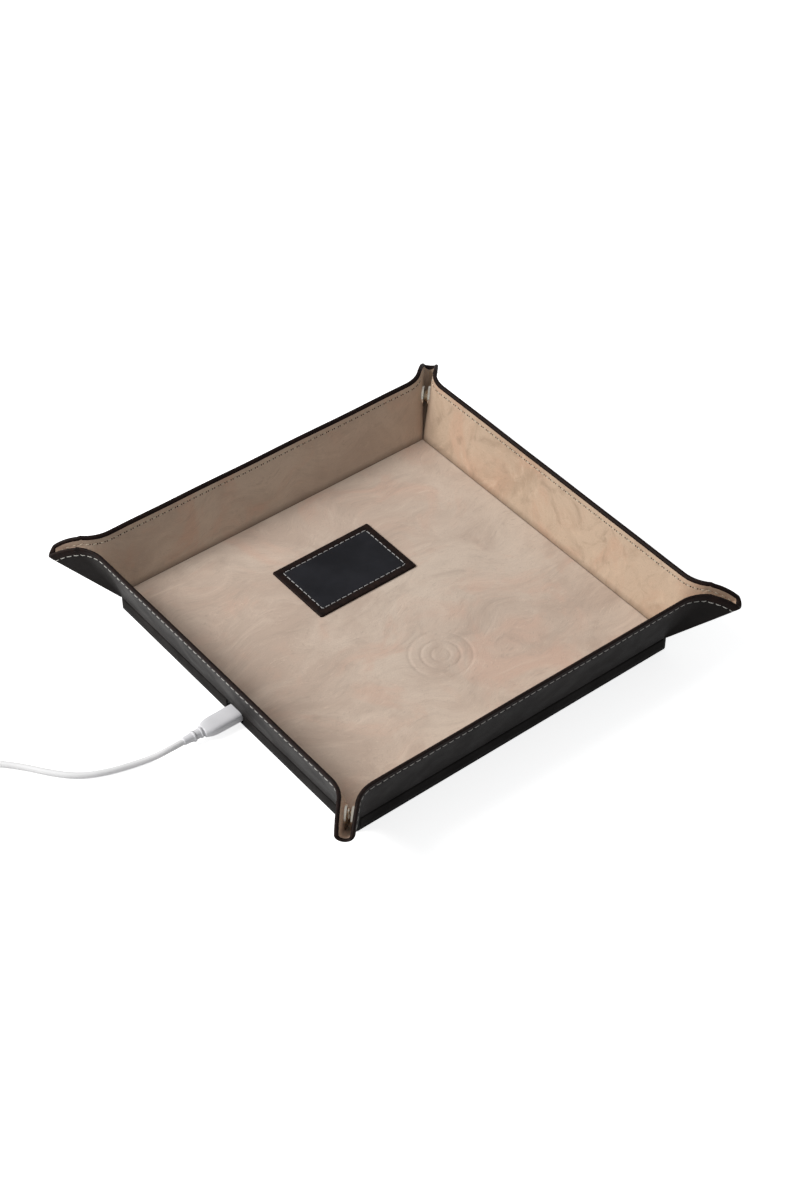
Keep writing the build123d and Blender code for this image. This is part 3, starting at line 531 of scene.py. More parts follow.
def tie_mesh():
    """Strap round the winding's turns, with its tail lying on it."""
    inner_turn = inner_layers[-1] - winding_step
    far = inner_layers[1] + cord_radius + tie_gap
    near = sqrt(inner_turn**2 - (tie_width / 2) ** 2) - cord_radius - tie_gap - winding_step
    low = -cord_radius - tie_gap / 2
    high = winding_layer_step + cord_radius + tie_gap
    round_at = cord_radius + tie_thickness / 2
    u0, u1 = near + cord_radius, far - cord_radius
    v0, v1 = low + cord_radius, high - cord_radius
    corners_at = [(u1, v1, 0), (u0, v1, 90), (u0, v0, 180), (u1, v0, 270)]
    origin = winding_centre - winding_x * winding_step
    outline = []
    for index, (u, v, start) in enumerate(corners_at):
        for k in range(7):
            a = radians(start + 15 * k)
            offset = Vector((round_at * cos(a), round_at * sin(a)))
            outline.append((u + offset.x, v + offset.y, a))
        following = corners_at[(index + 1) % 4]
        b0, b1 = Vector((u, v)) + offset, Vector(following[:2]) + offset
        count = max(2, round((b1 - b0).length / 1.5))
        outline += [(*b0.lerp(b1, k / count), a) for k in range(1, count)]
    path = [origin + winding_y * u + up * v for u, v, _ in outline]
    normals = [winding_y * cos(a) + up * sin(a) for _, _, a in outline]
    along = [0.0]
    for a, b in zip(path, path[1:]):
        along.append(along[-1] + (b - a).length)
    points, faces, flat = strap(path, normals, along, True)
    tail_v = high + 1.5 * tie_thickness - 0.04
    steps = [0.0, 0.15, 0.6] + [0.6 + (tie_tail - 1.2) * k / 6 for k in range(1, 7)]
    steps += [tie_tail - 0.15, tie_tail]
    tail = [origin + winding_y * (far - d) + up * tail_v for d in steps]
    more, more_faces, more_flat = strap(tail, [up] * len(tail), [d + 0.3 for d in steps], False)
    start = len(points)
    faces += [tuple(start + k for k in face) for face in more_faces]
    flat += more_flat
    points += more
    return make_mesh("cord_tie_strap", points, faces, tie_weave, "tie_fabric", sharp=50, rest_at=flat)


cord_parts = {
    "usb_c_plug_body": plug_body,
    "cord_strain_relief": relief,
    "usb_a_plug_body": end_body,
    "cord_tie": tie_mesh(),
}
for name, piece in cord_parts.items():
    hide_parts(name)
    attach(piece, "cord")

# Hide surfaces

outward = Vector((1, 1, 0)) / sqrt(2)
across = Vector((1, -1, 0)) / sqrt(2)
keel_foot_z = 9.82
drop_run = ear_tip_reach - ear_drop_start
drop_fall = rim_z - ear_tip_z
drop_radius = (drop_run**2 + drop_fall**2) / (2 * drop_fall)


def ear_frame(z):
    share = max(0.0, (z - base_top) / rise)
    half = ear_half_foot + (ear_half_rim - ear_half_foot) * share
    lean = wall_lean * share
    tangent = lean + ear_bend_start - sqrt(2) * half
    bend = tangent / tan(seam_angle)
    start = sqrt(2) * lean - half + tangent
    centre = outward * start + across * (half + bend) + up * z
    keel = ear_keel_foot + (ear_tip_reach - ear_keel_foot) * (z - keel_foot_z) / (ear_tip_z - keel_foot_z)
    return half, bend, centre, start, max(keel, start + half)


Column = namedtuple("Column", "kind value end", defaults=[0])


def surface(column, z, depth):
    """Point of the hide of the corner at (+X, +Y), on its X side, from the corner's foot."""
    kind, value = column.kind, column.value
    half, bend, centre, start, keel = ear_frame(z)
    if kind == "wall":
        lean = wall_lean * max(0.0, z - base_top) / rise
        return Vector((lean - depth, value, z))
    if kind == "bend":
        a = pi - radians(value)
        return centre + Vector((cos(a), sin(a), 0)) * (bend + depth)
    radius = half - depth
    hook = keel - half
    if kind == "channel":
        return outward * (start + (hook - start) * value) + across * radius + up * z
    a = value * pi / 2
    return outward * (hook + radius * sin(a)) + across * max(radius * cos(a), keel_gap) + up * z


def rim_height(reach):
    if reach <= ear_drop_start:
        return rim_z
    over = min(reach - ear_drop_start, drop_radius * 0.999)
    return rim_z - drop_radius + sqrt(drop_radius**2 - over**2)


def column_top(column):
    """Height of the rim on a column."""
    if column.kind in ("wall", "bend"):
        return rim_z
    low, high = base_top + 5.0, rim_z
    if rim_height(surface(column, high, 0.0).dot(outward)) >= high:
        return high
    for _ in range(40):
        middle = (low + high) / 2
        if rim_height(surface(column, middle, 0.0).dot(outward)) > middle:
            low = middle
        else:
            high = middle
    return (low + high) / 2


crown_height = 1.2
crown_arc = 7
crown_inner = 2.4
leather_foot_z = base_top + 0.05
lining_face = hide + 0.03
stitch_press = 0.6
stitch_drop = 4.6
groove_depth = 0.2
groove_width = 0.5
lining_seam_face = lining_face - stitch_press * groove_depth
rim_drops = [1.2, 1.8, 2.45, 3.1, 3.9, 4.35, 4.6, 4.85, 5.3, 6.3, 8.1]
lining_drops = [1.7, 2.4, 3.2, 4.0, 4.4, 4.6, 4.8, 5.2, 5.9, 6.9, 8.6]
painted_rows = 4
lapped_rows = 1
foot_rows = 11
crease_rows = [10.9, 10.4, 10.1]
roll_depth = 0.3
roll_drop = 4.2
crown_lap_drop = 1.5
paint_lap_drop = 2.0
paint_lap_face = hide + 0.08
foot_gap = 0.04
keel_gap = 0.015
foot_flare = 0.62
foot_flare_rise = 3.6
crease_height = 0.8
crease_share = 0.3
flare_end_bend = 14.0
channel_from_bend = 30.0
channel_puff = 0.35


def wall_columns(half_length):
    """Columns of a wall from one seam to the other; a bend's column names its end of the wall."""
    ends = [seam_turn, 22.1, 20.5, 18.5, 16.0, 13.0, 10.0, 7.0, 4.5, 2.2, 0.8, 0.0]
    reach = half_length - ear_bend_start
    count = 64
    out = [Column("bend", t, 1) for t in ends]
    out += [Column("wall", reach - 2 * reach * (k + 1) / (count + 1)) for k in range(count)]
    return out + [Column("bend", t, -1) for t in reversed(ends)]


def ear_columns():
    bends = [seam_turn, 22.9, 24.5, 26.5, 29.0, 32.0, 35.0, 38.0, 41.0, 43.2, 44.5, ear_turn]
    out = [Column("bend", t) for t in bends]
    out += [Column("channel", (k + 1) / 12) for k in range(12)]
    return out + [Column("keel", k / 10) for k in (*range(1, 10), 9.7, 10)]


def wall_surface(half_length):
    """A function like surface() for a whole wall, with a bend at either end."""

    def at(column, z, depth):
        p = surface(column, z, depth)
        return Vector((p.x, column.end * (p.y + half_length), p.z)) if column.end else p

    return at


def slope_factors(tops, downs):
    """How far down a column, in height, one millimetre away from the rim is."""
    out = []
    for i, (p, q) in enumerate(zip(tops, downs)):
        a = tops[max(0, i - 1)]
        b = tops[min(len(tops) - 1, i + 1)]
        t = (b - a).normalized()
        c = p - q
        out.append(1 / max((c - t * c.dot(t)).length, 0.5))
    return out


class Strip:
    """Columns of a wall or an ear half, with a function that gives the hide's points."""

    def __init__(self, columns, at, tops):
        self.columns, self.at, self.tops = columns, at, tops
        rims = [at(c, t, 0.0) for c, t in zip(columns, tops)]
        lower = [at(c, t - 1.0, 0.0) for c, t in zip(columns, tops)]
        self.factor = slope_factors(rims, lower)

    def level(self, i, z, depth):
        return self.at(self.columns[i], z, depth)

    def point(self, i, drop, depth):
        """Point of column i at a distance below the rim, measured square to it."""
        return self.level(i, self.tops[i] - drop * self.factor[i], depth)


def row_heights(strip, i, low, drops):
    """Heights of a column's rows, from near the rim down to the foot."""
    top = strip.tops[i]
    near = [top - d * strip.factor[i] for d in drops]
    last = near[-1]
    down = crease_rows[0] + 1.0
    spread = foot_rows - len(crease_rows) - 1
    rows = near + [last + (down - last) * ((k + 1) / spread) ** 0.95 for k in range(spread)]
    return rows + [max(z, low + 0.02 * (k + 1)) for k, z in zip((3, 2, 1), crease_rows)] + [low]


def ease(value):
    v = max(0.0, min(1.0, value))
    return v * v * (3 - 2 * v)


def bell(value, middle, width):
    """1 at a middle value, falling off to both sides of it."""
    return exp(-(((value - middle) / width) ** 2))


def groove(drop):
    """Depth of the line that the stitches pull into the leather."""
    return groove_depth * bell(drop, stitch_drop, groove_width)


def flare_share(column):
    """How full the foot is: whole along a wall, and gone before the ear."""
    if column.kind == "wall":
        return 1.0
    return 1 - ease(column.value / flare_end_bend) if column.kind == "bend" else 0.0


def outer_depth(drop, z, flare):
    """Outer face: thinned and rolled above the stitches, full at the foot where it turns over the base."""
    rolled = roll_depth * max(0.0, 1 - drop / roll_drop) ** 2
    fullness = 1 - ease((z - base_top) / foot_flare_rise)
    creased = crease_share + (1 - crease_share) * ease((z - base_top) / crease_height)
    return rolled + groove(drop) - flare * foot_flare * fullness * creased


def inner_depth(drop):
    """Inner face of the leather's shell: the painted edge laps over the lining."""
    if drop < crown_lap_drop:
        return crown_inner
    return paint_lap_face if drop < paint_lap_drop else leather


def channel_share(column):
    """0 on a wall and in the first of its bend, 1 in an ear's channel and keel."""
    if column.kind == "bend":
        return ease((column.value - channel_from_bend) / (ear_turn - channel_from_bend))
    return 0.0 if column.kind == "wall" else 1.0


def closed_foot(strip, i, z, depth):
    """Depth of a lowest row: an ear's channel is closed there, up to its other half."""
    half = ear_frame(z)[0]
    return max(depth, channel_share(strip.columns[i]) * (half - foot_gap))


def end_caps(count, ring, rows, crown=0):
    """Faces that close a shell's ends; its rings run up the outside, over a crown and down the inside."""
    faces = []
    for base in (0, (count - 1) * ring):
        cap = []
        for j in range(rows - 1):
            outer, inner = base + rows - 1 - j, base + rows + crown + j
            cap.append((outer, outer - 1, inner + 1, inner))
        if crown:
            cap.append(tuple(base + k for k in range(rows - 1, rows + crown + 1)))
        faces += cap if base == 0 else [tuple(reversed(face)) for face in cap]
    return faces


def leather_shell(name, strip, move):
    """Outer leather with its painted, rounded edge, as one closed shell."""
    points = []
    for i, column in enumerate(strip.columns):
        f, top = strip.factor[i], strip.tops[i]
        flare = flare_share(column)
        outer, inner = [], []
        for z in row_heights(strip, i, leather_foot_z, rim_drops):
            drop = (top - z) / f
            outer.append(strip.level(i, z, outer_depth(drop, z, flare)))
            inner.append(strip.level(i, z, inner_depth(drop)))
        inner[-1] = strip.level(i, leather_foot_z, closed_foot(strip, i, leather_foot_z, leather))
        first = outer_depth(crown_height, top, flare)
        middle, spread = (first + crown_inner) / 2, (crown_inner - first) / 2
        crown = []
        for k in range(1, crown_arc + 1):
            a = pi * k / (crown_arc + 1)
            z = top - crown_height * f * (1 - sin(a))
            crown.append(strip.level(i, z, middle - spread * cos(a)))
        points += outer[::-1] + crown + inner
    rows = len(rim_drops) + foot_rows
    n, ring = len(strip.columns), 2 * rows + crown_arc
    painted = range(rows - 1 - painted_rows, rows + crown_arc + lapped_rows)
    mats = [int(j in painted) for j in range(ring)] * (n - 1)
    faces = ring_faces(n, ring) + end_caps(n, ring, rows, crown_arc)
    mats += [0] * (len(faces) - len(mats))
    points = [move(p) for p in points]
    return make_mesh(name, points, faces, [outer_leather, paint], "outer_leather", mats, sharp=42)


def puff_at(strip, i, z, drop):
    """How far the lining swells into an ear's channel, where the press stud draws the halves together."""
    share = channel_share(strip.columns[i])
    return share * ease((drop - 3.0) / 6.0) * min(channel_puff, 0.4 * (ear_frame(z)[0] - hide))


def lining_shell(name, strip, move, material, low, crease_shade_foot):
    """Suede lining behind the leather, with painted shade darkening its foot in the crease."""
    points = []
    for i in range(len(strip.columns)):
        inner, outer = [], []
        for z in row_heights(strip, i, low, lining_drops):
            drop = (strip.tops[i] - z) / strip.factor[i]
            pressed = lining_face - stitch_press * groove(drop)
            inner.append(strip.level(i, z, pressed + puff_at(strip, i, z, drop)))
            outer.append(strip.level(i, z, leather + 0.02))
        inner[-1] = strip.level(i, low, closed_foot(strip, i, low, lining_face))
        points += outer[::-1] + inner
    crease_shade = [max(0.0, 1 - (p.z - low) / crease_shade_foot) ** 2 for p in points]
    rows = len(lining_drops) + foot_rows
    n, ring = len(strip.columns), 2 * rows
    faces = ring_faces(n, ring) + end_caps(n, ring, rows)
    points = [move(p) for p in points]
    return make_mesh(name, points, faces, material, "suede_lining", crease_shade=crease_shade, sharp=42)


# Stitches

Seam = namedtuple("Seam", "pitch length radius thread slot hole")
wall_outer_seam = Seam(4.1, 3.25, 0.25, pale_thread, "outer_leather", 0.32)
wall_inner_seam = Seam(4.1, 2.5, 0.24, tan_thread, "suede_lining", 0.5)
ear_outer_seam = Seam(4.1, 3.2, 0.25, pale_thread, "outer_leather", 0.32)
ear_inner_seam = Seam(4.1, 2.3, 0.24, tan_thread, "suede_lining", 0.45)
patch_seam = Seam(3.7, 3.1, 0.23, grey_thread, "patch_leather", 0.32)


def along_path(path, pitch):
    """A function for the (point, normal) at a length along a path, the stitches' number and step."""
    lengths = [0.0]
    for (a, _), (b, _) in zip(path, path[1:]):
        lengths.append(lengths[-1] + (b - a).length)
    total = lengths[-1]
    count = max(1, round(total / pitch))
    step = total / count

    def at(s):
        s = min(max(s, 0.0), total)
        k = bisect_left(lengths, s, 1, len(lengths) - 1) - 1
        t = (s - lengths[k]) / max(lengths[k + 1] - lengths[k], 1e-9)
        (p, n), (q, m) = path[k], path[k + 1]
        return p.lerp(q, t), n.lerp(m, t).normalized()

    return at, count, step


def add_stitch(points, faces, at, middle, seam, rng):
    """One raised stitch whose ends dive into the hide: (share of its length, lift, width) at each ring."""
    start, sides = len(points), 7
    tilt = rng.uniform(-0.11, 0.11)
    half = [(-0.5, -1.1, 0.55), (-0.44, -0.25, 0.9), (-0.3, 0.45, 1.0)]
    rings = [*half, (0.0, 0.62, 1.0), *((-share, lift, width) for share, lift, width in half[::-1])]
    for share, lift, width in rings:
        place = middle + share * seam.length
        p, n = at(place)
        t = (at(place + 0.05)[0] - at(place - 0.05)[0]).normalized()
        side = n.cross(t).normalized()
        centre = p + n * (lift * seam.radius) + side * (tilt * share * 2)
        r = seam.radius * width
        points += [centre + side * (r * c) + n * (r * 0.85 * s) for c, s in circle(sides)]
    faces += ring_faces(len(rings), sides, start) + end_faces(len(points), sides, start)


def add_hole(points, faces, spot, radius):
    """Shallow dimple disc where the needle went through; its dark colour is painted shade in the hole."""
    p, n = spot
    side = n.orthogonal().normalized()
    other = n.cross(side)
    start, sides = len(points), 8
    low = start + 3 * sides
    for r, lift in ((radius, 0.03), (radius * 0.8, 0.05), (radius * 0.35, 0.03), (radius, -0.25)):
        points += [p + side * (r * c) + other * (r * s) + n * lift for c, s in circle(sides)]
    faces += ring_faces(3, sides, start)
    faces.append(tuple(range(low - sides, low)))
    for k in range(sides):
        after = (k + 1) % sides
        faces.append((start + after, start + k, low + k, low + after))
    faces.append(tuple(low + k for k in reversed(range(sides))))


def stitch_line(name, path, seam, move, seed):
    """Mesh of all stitches along one path, and the mesh of their needle holes."""
    rng = random.Random(seed)
    at, count, step = along_path(path, seam.pitch)
    points, faces, hole_points, hole_faces = [], [], [], []
    for k in range(count):
        middle = (k + 0.5) * step
        add_stitch(points, faces, at, middle, seam, rng)
        for share in (-0.52, 0.52):
            add_hole(hole_points, hole_faces, at(middle + share * seam.length), seam.hole)
    stitches = make_mesh(name, [move(p) for p in points], faces, seam.thread, seam.slot)
    hole_points = [move(p) for p in hole_points]
    holes = make_mesh(name + "_holes", hole_points, hole_faces, hole_painted_shade, seam.slot, sharp=40)
    return stitches, holes


def seam_path(strip, depth, inner, skip=0):
    """(point, normal) pairs along a strip, at the stitches' distance below its rim."""
    out = []
    n = len(strip.columns) - skip
    for i in range(n):
        p = strip.point(i, stitch_drop, depth)
        before = strip.point(max(0, i - 1), stitch_drop, depth)
        after = strip.point(min(n - 1, i + 1), stitch_drop, depth)
        below = strip.point(i, stitch_drop + 1.0, depth)
        normal = (after - before).cross(p - below).normalized()
        deeper = strip.point(i, stitch_drop, depth + 1.0) - p
        out.append((p, normal if (normal.dot(deeper) > 0) == inner else -normal))
    return out


# Walls

wall_lining_foot_z = 11.5
sides = {
    "right": (0.0, half_y, half_x, right_suede_painted_shade),
    "back": (pi / 2, half_x, half_y, walls_suede_painted_shade),
    "port": (pi, half_y, half_x, walls_suede_painted_shade),
    "front": (3 * pi / 2, half_x, half_y, walls_suede_painted_shade),
}


wall_bulge = 0.35
bulge_rise = 12
bulge_whole_reach = 88.0
bulge_fade = 8.0


def side_move(angle, reach, seed):
    """Puts a wall in its place, with a hand-made hide's slow unevenness, which fades towards the seams."""

    def move(p):
        x, y, z = p
        slow = noise.noise(Vector((x, y, z * 0.6)) * 0.021 + Vector((seed * 3.7, seed * 1.9, 0.4)))
        bulge = wall_bulge * slow * min(1.0, max(0.0, (z - base_top) / bulge_rise))
        bulge *= max(0.0, 1 - max(0.0, abs(y) - bulge_whole_reach) / bulge_fade)
        return turned(Vector((x + reach + bulge, y, z + 0.6 * bulge * max(0.0, (z - 30) / 16))), angle)

    return move


for index, (side, (angle, half_length, reach, lining_material)) in enumerate(sides.items()):
    columns = wall_columns(half_length)
    strip = Strip(columns, wall_surface(half_length), [rim_z] * len(columns))
    move = side_move(angle, reach, index + 1)
    shell = leather_shell(f"hide_outer_{side}", strip, move)
    lining = lining_shell(f"hide_lining_{side}", strip, move, lining_material, wall_lining_foot_z, 1.3)
    outside = seam_path(strip, groove_depth, False)
    inside = seam_path(strip, lining_seam_face, True)
    outer_seam = stitch_line(f"rim_stitch_{side}", outside, wall_outer_seam, move, index)
    inner_seam = stitch_line(f"lining_stitch_{side}", inside, wall_inner_seam, move, 50 + index)
    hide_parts(f"wall_leather_{side}")
    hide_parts(f"wall_lining_{side}")
    body = f"wall_{side}"
    start = turned(Vector((reach - 1.6, 0, 11.6)), angle) * MM
    end = turned(Vector((reach - 0.4, 0, 14.6)), angle) * MM
    tuple(start)
    tuple(end)
    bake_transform(lining)
    for piece in (shell, *outer_seam, *inner_seam):
        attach(piece, body)

# Ears

corners = {"back_right": (1, 1), "back_port": (-1, 1), "front_port": (-1, -1), "front_right": (1, -1)}
wall_of = {("x", 1): "right", ("x", -1): "port", ("y", 1): "back", ("y", -1): "front"}
ear_lining_foot_z = base_top + 0.35
ear_cols = ear_columns()
ear_strip = Strip(ear_cols, surface, [column_top(c) for c in ear_cols])
ear_outside = seam_path(ear_strip, groove_depth, False, skip=7)
ear_inside = seam_path(ear_strip, lining_seam_face + 0.03, True, skip=9)

seam_foot = surface(Column("bend", seam_turn), base_top, 0.0)
seam_top = surface(Column("bend", seam_turn), rim_z, 0.0)
seam_line = (seam_top - seam_foot).normalized()
blend_way = Vector((sin(seam_angle), cos(seam_angle), 0))
blend_way = (blend_way - seam_line * blend_way.dot(seam_line)).normalized()
blend_reach = 7.0
blend_start = (seam_foot + seam_top) / 2
blend_end = blend_start + blend_way * blend_reach


def corner_move(sx, sy, half):
    """Puts an ear half, drawn for the corner at (+X, +Y) on its X side, at another corner or side."""

    def move(p):
        x, y, z = p if half == "x" else (p[1], p[0], p[2])
        return Vector((sx * (x + half_x), sy * (y + half_y), z))

    return move


for index, (corner, (sx, sy)) in enumerate(corners.items()):
    for half in ("x", "y"):
        move = corner_move(sx, sy, half)
        wall = wall_of[(half, sx if half == "x" else sy)]
        tag = f"{corner}_{half}"
        shell = leather_shell(f"ear_outer_{tag}", ear_strip, move)
        lining = lining_shell(f"ear_inner_{tag}", ear_strip, move, sides[wall][3], ear_lining_foot_z, 2.6)
        outer_seam = stitch_line(f"ear_stitch_{tag}", ear_outside, ear_outer_seam, move, 100 + index)
        inner_seam = stitch_line(f"ear_lining_stitch_{tag}", ear_inside, ear_inner_seam, move, 150 + index)
        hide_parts(f"ear_leather_{tag}")
        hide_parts(f"ear_lining_{tag}")
        start, end = tuple(move(blend_start) * MM), tuple(move(blend_end) * MM)
        for piece in (shell, lining, *outer_seam, *inner_seam):
            if (sx * sy < 0) != (half == "y"):
                piece.data.flip_normals()
            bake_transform(piece)
            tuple(start)
            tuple(end)

# Leather over the base's sides

skirt_foot = 3.2
skirt_inner = -0.04
skirt_least_flare = 0.1
socket_gap = (-3.7, 10.9)
skirt_rows = [(skirt_foot, 0.6), (skirt_foot + 0.1, 0.85), (skirt_foot + 0.5, 1.0), (5.0, 1.0), (6.4, 1.0)]
skirt_rows += [(7.8, 1.0), (8.7, 1.0), (9.05, 0.92), (9.35, 0.5), (9.5, 0.1)]


def skirt_mesh(name, side, low, high):
    """Leather turned down over one side of the base, between two places along it or from bend to bend."""
    angle, half_length, reach = sides[side][:3]
    columns = []
    for column in wall_columns(half_length):
        place = column.end * half_length if column.end else column.value
        if low < place < high and flare_share(column) > skirt_least_flare:
            columns.append(column)
    if high < half_length:
        columns.insert(0, Column("wall", high))
    if low > -half_length:
        columns.append(Column("wall", low))
    at = wall_surface(half_length)
    points = []
    for column in columns:
        flare = foot_flare * flare_share(column)
        loop = [(z, min(-flare * share, skirt_inner - 0.01)) for z, share in skirt_rows]
        loop += [(z, skirt_inner) for z, _ in reversed(skirt_rows)]
        for z, depth in loop:
            p = at(column, z, depth)
            points.append(turned(Vector((reach + p.x, p.y, z)), angle))
    ring = 2 * len(skirt_rows)
    faces = ring_faces(len(columns), ring) + end_faces(len(points), ring)
    skirt = make_mesh(name, points, faces, base_leather, "outer_leather", sharp=50)
    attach(skirt, "root")


for side in ("right", "back", "front"):
    skirt_mesh(f"base_wrap_{side}", side, -2 * half_x, 2 * half_x)
skirt_mesh("base_wrap_port_near", "port", socket_gap[1], 2 * half_x)
skirt_mesh("base_wrap_port_far", "port", -2 * half_x, socket_gap[0])

# Floor

mark_y = -41.7
mark_reach = 21.0
pressed_rings = [(5.0, 0.75, 0.3), (10.5, 0.75, 0.3), (17.0, 0.85, 0.24)]
fine_step, coarse_step = 0.62, 1.9
edge_steps = [0.08, 0.22, 0.45, 0.8, 1.4, 2.4]
floor_inset = 1.62
floor_lip = 0.5
floor_lip_reach = 0.8
floor_wave_fade = 4.0
floor_crease_shade_reach = 0.85
slab_inset = 2.1
slab_round = 0.3


def sheet_marks(reach, centre):
    """Coordinates that are close together at both ends and round one place."""
    marks = {-reach, reach}
    for e in edge_steps:
        marks |= {e - reach, reach - e}
    v = -reach + edge_steps[-1] + coarse_step
    while v < reach - edge_steps[-1] - coarse_step / 2:
        marks.add(round(v, 4))
        v += fine_step if abs(v - centre) < mark_reach else coarse_step
    return sorted(marks)


def floor_height(x, y):
    """Rings pressed over the charging coil, each of a radius, width and depth, and the slow unevenness."""
    r = hypot(x, y - mark_y)
    ring = 0.0
    for radius, width, depth in pressed_rings:
        ring -= depth * bell(r, radius, width)
    slow = 0.16 * noise.noise(Vector((x * 0.018, y * 0.018, 1.7)))
    slow += 0.05 * noise.noise(Vector((x * 0.09, y * 0.06, 5.1)))
    return ring + slow


def edge_gaps(xs, ys):
    """Every place of a sheet's grid, with its distance from the nearest edge."""
    return [(x, y, min(xs[-1] - abs(x), ys[-1] - abs(y))) for x in xs for y in ys]


def rolled_edge(gap, fall, reach):
    """How far a sheet has fallen at a distance from its edge."""
    return fall * (1 - min(1.0, gap / reach)) ** 2


def floor_sheet():
    """Suede of the floor, with painted shade along its edges in the crease."""
    reach_x, reach_y = half_x - floor_inset, half_y - floor_inset
    xs, ys = sheet_marks(reach_x, 0.0), sheet_marks(reach_y, mark_y)
    points, crease_shade = [], []
    for x, y, gap in edge_gaps(xs, ys):
        lip = rolled_edge(gap, floor_lip, floor_lip_reach)
        points.append((x, y, floor_z - 0.02 - lip + floor_height(x, y) * min(1.0, gap / floor_wave_fade)))
        crease_shade.append(max(0.0, 1 - gap / floor_crease_shade_reach) ** 1.2)
    faces = close_sheet(points, len(xs), len(ys), base_top + leather + 0.02)
    crease_shade += [1.0] * (len(points) - len(crease_shade))
    return make_mesh("floor_suede", points, faces, lining_floor, "suede_lining", crease_shade=crease_shade, sharp=60)


def even_marks(reach, marks, count):
    """Coordinates marked off from both ends, with even steps between them."""
    inner = reach - marks[-1]
    steps = [-inner + 2 * inner * k / count for k in range(1, count)]
    return [m - reach for m in marks] + steps + [reach - m for m in reversed(marks)]


def leather_slab():
    """Plain leather under the lining, with rounded edges."""
    reach_x, reach_y = half_x - slab_inset, half_y - slab_inset
    xs = even_marks(reach_x, [0.0, slab_round / 3, slab_round], 24)
    ys = [x * reach_y / reach_x for x in xs]
    top = base_top + leather
    points = [(x, y, top - rolled_edge(gap, slab_round, slab_round)) for x, y, gap in edge_gaps(xs, ys)]
    faces = close_sheet(points, len(xs), len(ys), base_top + 0.02)
    return make_mesh("floor_leather_sheet", points, faces, outer_leather, "outer_leather", sharp=60)


# Patch

patch_half = (32.5, 22.0)
patch_centre = 41.2
patch_thickness = 1.2
patch_inset = 4.3
patch_corner = 1.0
patch_step = 1.8
patch_edge_fall = 0.38
patch_edge_reach = 0.6
patch_groove_depth = 0.26
patch_groove_width = 0.42
patch_border_puff = 0.1
patch_puff = 0.12
patch_puff_rise = 5.0
patch_seam_depth = 0.3
patch_seam_corner = 0.6


def patch_mesh():
    """Patch that is puffed up on both sides of its seam and rounded at its edge and corners."""
    hx, hy = patch_half
    marks = [0.0, 0.1, 0.25, 0.5, 0.9, 1.6, 2.8, 3.5, 3.9, 4.1, 4.3, 4.5, 4.7, 5.1, 5.8, 7.0, 8.6]
    xs, ys = (even_marks(reach, marks, round(2 * (reach - marks[-1]) / patch_step)) for reach in patch_half)
    inner_x, inner_y = hx - patch_corner, hy - patch_corner
    points, gaps = [], []
    for x, y, gap in edge_gaps(xs, ys):
        fall = rolled_edge(gap, patch_edge_fall, patch_edge_reach)
        fall += patch_groove_depth * bell(gap, patch_inset, patch_groove_width)
        puff = patch_border_puff * (sin(min(1.0, gap / patch_inset) * pi) - 1)
        puff += patch_puff * ease((gap - patch_inset) / patch_puff_rise)
        z = floor_z + patch_thickness - fall + puff
        z += 0.05 * noise.noise(Vector((x * 0.08, y * 0.08, 9.0))) * min(1.0, gap / 2)
        dx, dy = abs(x) - inner_x, abs(y) - inner_y
        if dx > 0 and dy > 0:
            k = max(dx, dy) / hypot(dx, dy)
            x, y = copysign(inner_x + dx * k, x), copysign(inner_y + dy * k, y)
        points.append((x, y + patch_centre, z))
        gaps.append(gap)
    faces = close_sheet(points, len(xs), len(ys), floor_z - 0.25)
    top_faces = (len(xs) - 1) * (len(ys) - 1)
    mats = [int(min(gaps[k] for k in face) < patch_inset - 0.3) for face in faces[:top_faces]]
    mats += [1] * (len(faces) - top_faces - 1) + [0]
    return make_mesh("floor_patch", points, faces, [patch_leather, paint], "patch_leather", mats, sharp=60)


def patch_path():
    """Path of the patch's seam, with rounded corners."""
    hx, hy = patch_half[0] - patch_inset, patch_half[1] - patch_inset
    z = floor_z + patch_thickness - patch_seam_depth
    r = patch_seam_corner
    path = []
    for quarter, (cx, cy) in enumerate(((1, 1), (-1, 1), (-1, -1), (1, -1))):
        for k in range(5):
            a = radians(90 * quarter + k * 22.5)
            at = Vector((cx * (hx - r) + r * cos(a), cy * (hy - r) + r * sin(a) + patch_centre, z))
            path.append((at, up))
    path.append(path[0])
    return path


sheets = {"floor_lining": floor_sheet(), "floor_leather": leather_slab(), "name_patch": patch_mesh()}
for name, sheet in sheets.items():
    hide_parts(name)
    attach(sheet, "root")
for piece in stitch_line("patch_stitch", patch_path(), patch_seam, Vector, 7):
    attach(piece, "root")

# Carried-over CAD nodes

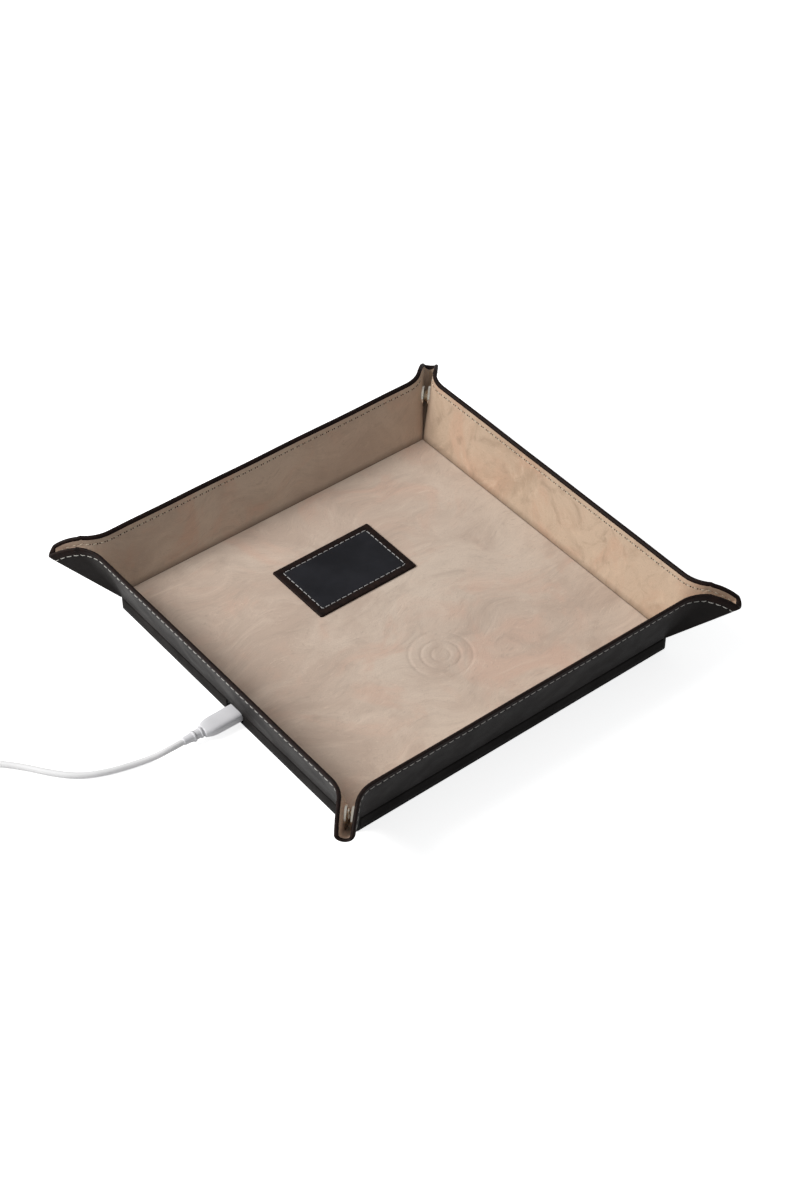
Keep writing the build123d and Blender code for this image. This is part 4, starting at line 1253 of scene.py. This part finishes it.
finishes = {
    "base_housing": base_black,
    "bottom_cover": base_black,
    "rubber_feet": rubber_black,
    "cover_screws": screw_metal,
    "charging_coil": copper,
    "ferrite_sheet": ferrite_grey,
    "charger_board": board_green,
    "board_components": component_black,
    "usb_c_socket": plug_metal,
    "usb_c_plug_shell": plug_metal,
    "usb_a_plug_shell": plug_metal,
    "usb_a_contact_block": contact_white,
}
for name, o in nodes.items():
    if name in finishes:
        material = finishes[name]
    elif name.startswith("wall_board"):
        material = press_board
    elif name.startswith("press_"):
        material = stud_metal
    else:
        continue
    o.data.materials.clear()
    o.data.materials.append(material)

# Stage and light

mirrored_share = 0.25
table_glow = 0.78
sky_glow = 0.72
sky_light = 0.32


def ray_level(g, camera_share):
    """Brightness that only the camera sees, with a smaller share for rays that gloss and glass send on."""
    rays = g.add("ShaderNodeLightPath").outputs
    mirrored = g.math("MAXIMUM", rays["Is Glossy Ray"], rays["Is Transmission Ray"])
    seen = g.times(rays["Is Camera Ray"], camera_share)
    return g.math("ADD", seen, g.times(mirrored, mirrored_share))


def white_floor():
    """Table that glows towards the camera up to white, and still shows the object's soft shadow."""
    g, p = start_material("table_top", False)
    faint = g.remap(g.noise(p, 3.0, 3.0), 0.3, 0.7, 0.8, 0.81)
    shade = g.add("ShaderNodeCombineColor", {0: faint, 1: faint, 2: faint}).outputs[0]
    diffuse = g.add("ShaderNodeBsdfDiffuse", {"Color": shade}).outputs[0]
    glow = g.add("ShaderNodeEmission", {"Color": tone((1, 1, 1)), "Strength": ray_level(g, table_glow)})
    return g.show(g.add("ShaderNodeAddShader", {0: diffuse, 1: glow.outputs[0]}))


table_reach = 6.0
table_corners = [(x * table_reach, y * table_reach, 0) for x, y in ((-1, -1), (1, -1), (1, 1), (-1, 1))]
table_data = bpy.data.meshes.new("table")
table_data.from_pydata(table_corners, [], [(0, 1, 2, 3)])
table_data.materials.append(white_floor())
table = new_object("table", table_data)

world = bpy.data.worlds.new("world")
scene.world = world
w = Graph(world)
sky_level = w.math("ADD", ray_level(w, sky_glow), sky_light)
w.show(w.add("ShaderNodeBackground", {"Color": tone((0.97, 0.985, 1.0)), "Strength": sky_level}), "World")

key_left, key_up, key_back = 1.3, 1.15, 0.1
key_data = bpy.data.lights.new("key", "AREA")
key_data.shape = "SQUARE"
key_data.size = 0.9
key_data.energy = 29.0
key_data.color = (1.0, 0.985, 0.965)
key = new_object("key", key_data)
key.location = -view_right * key_left + up * key_up - look_flat * key_back
key.rotation_euler = (-key.location).to_track_quat("-Z", "Y").to_euler()

scene.view_settings.view_transform = "Standard"
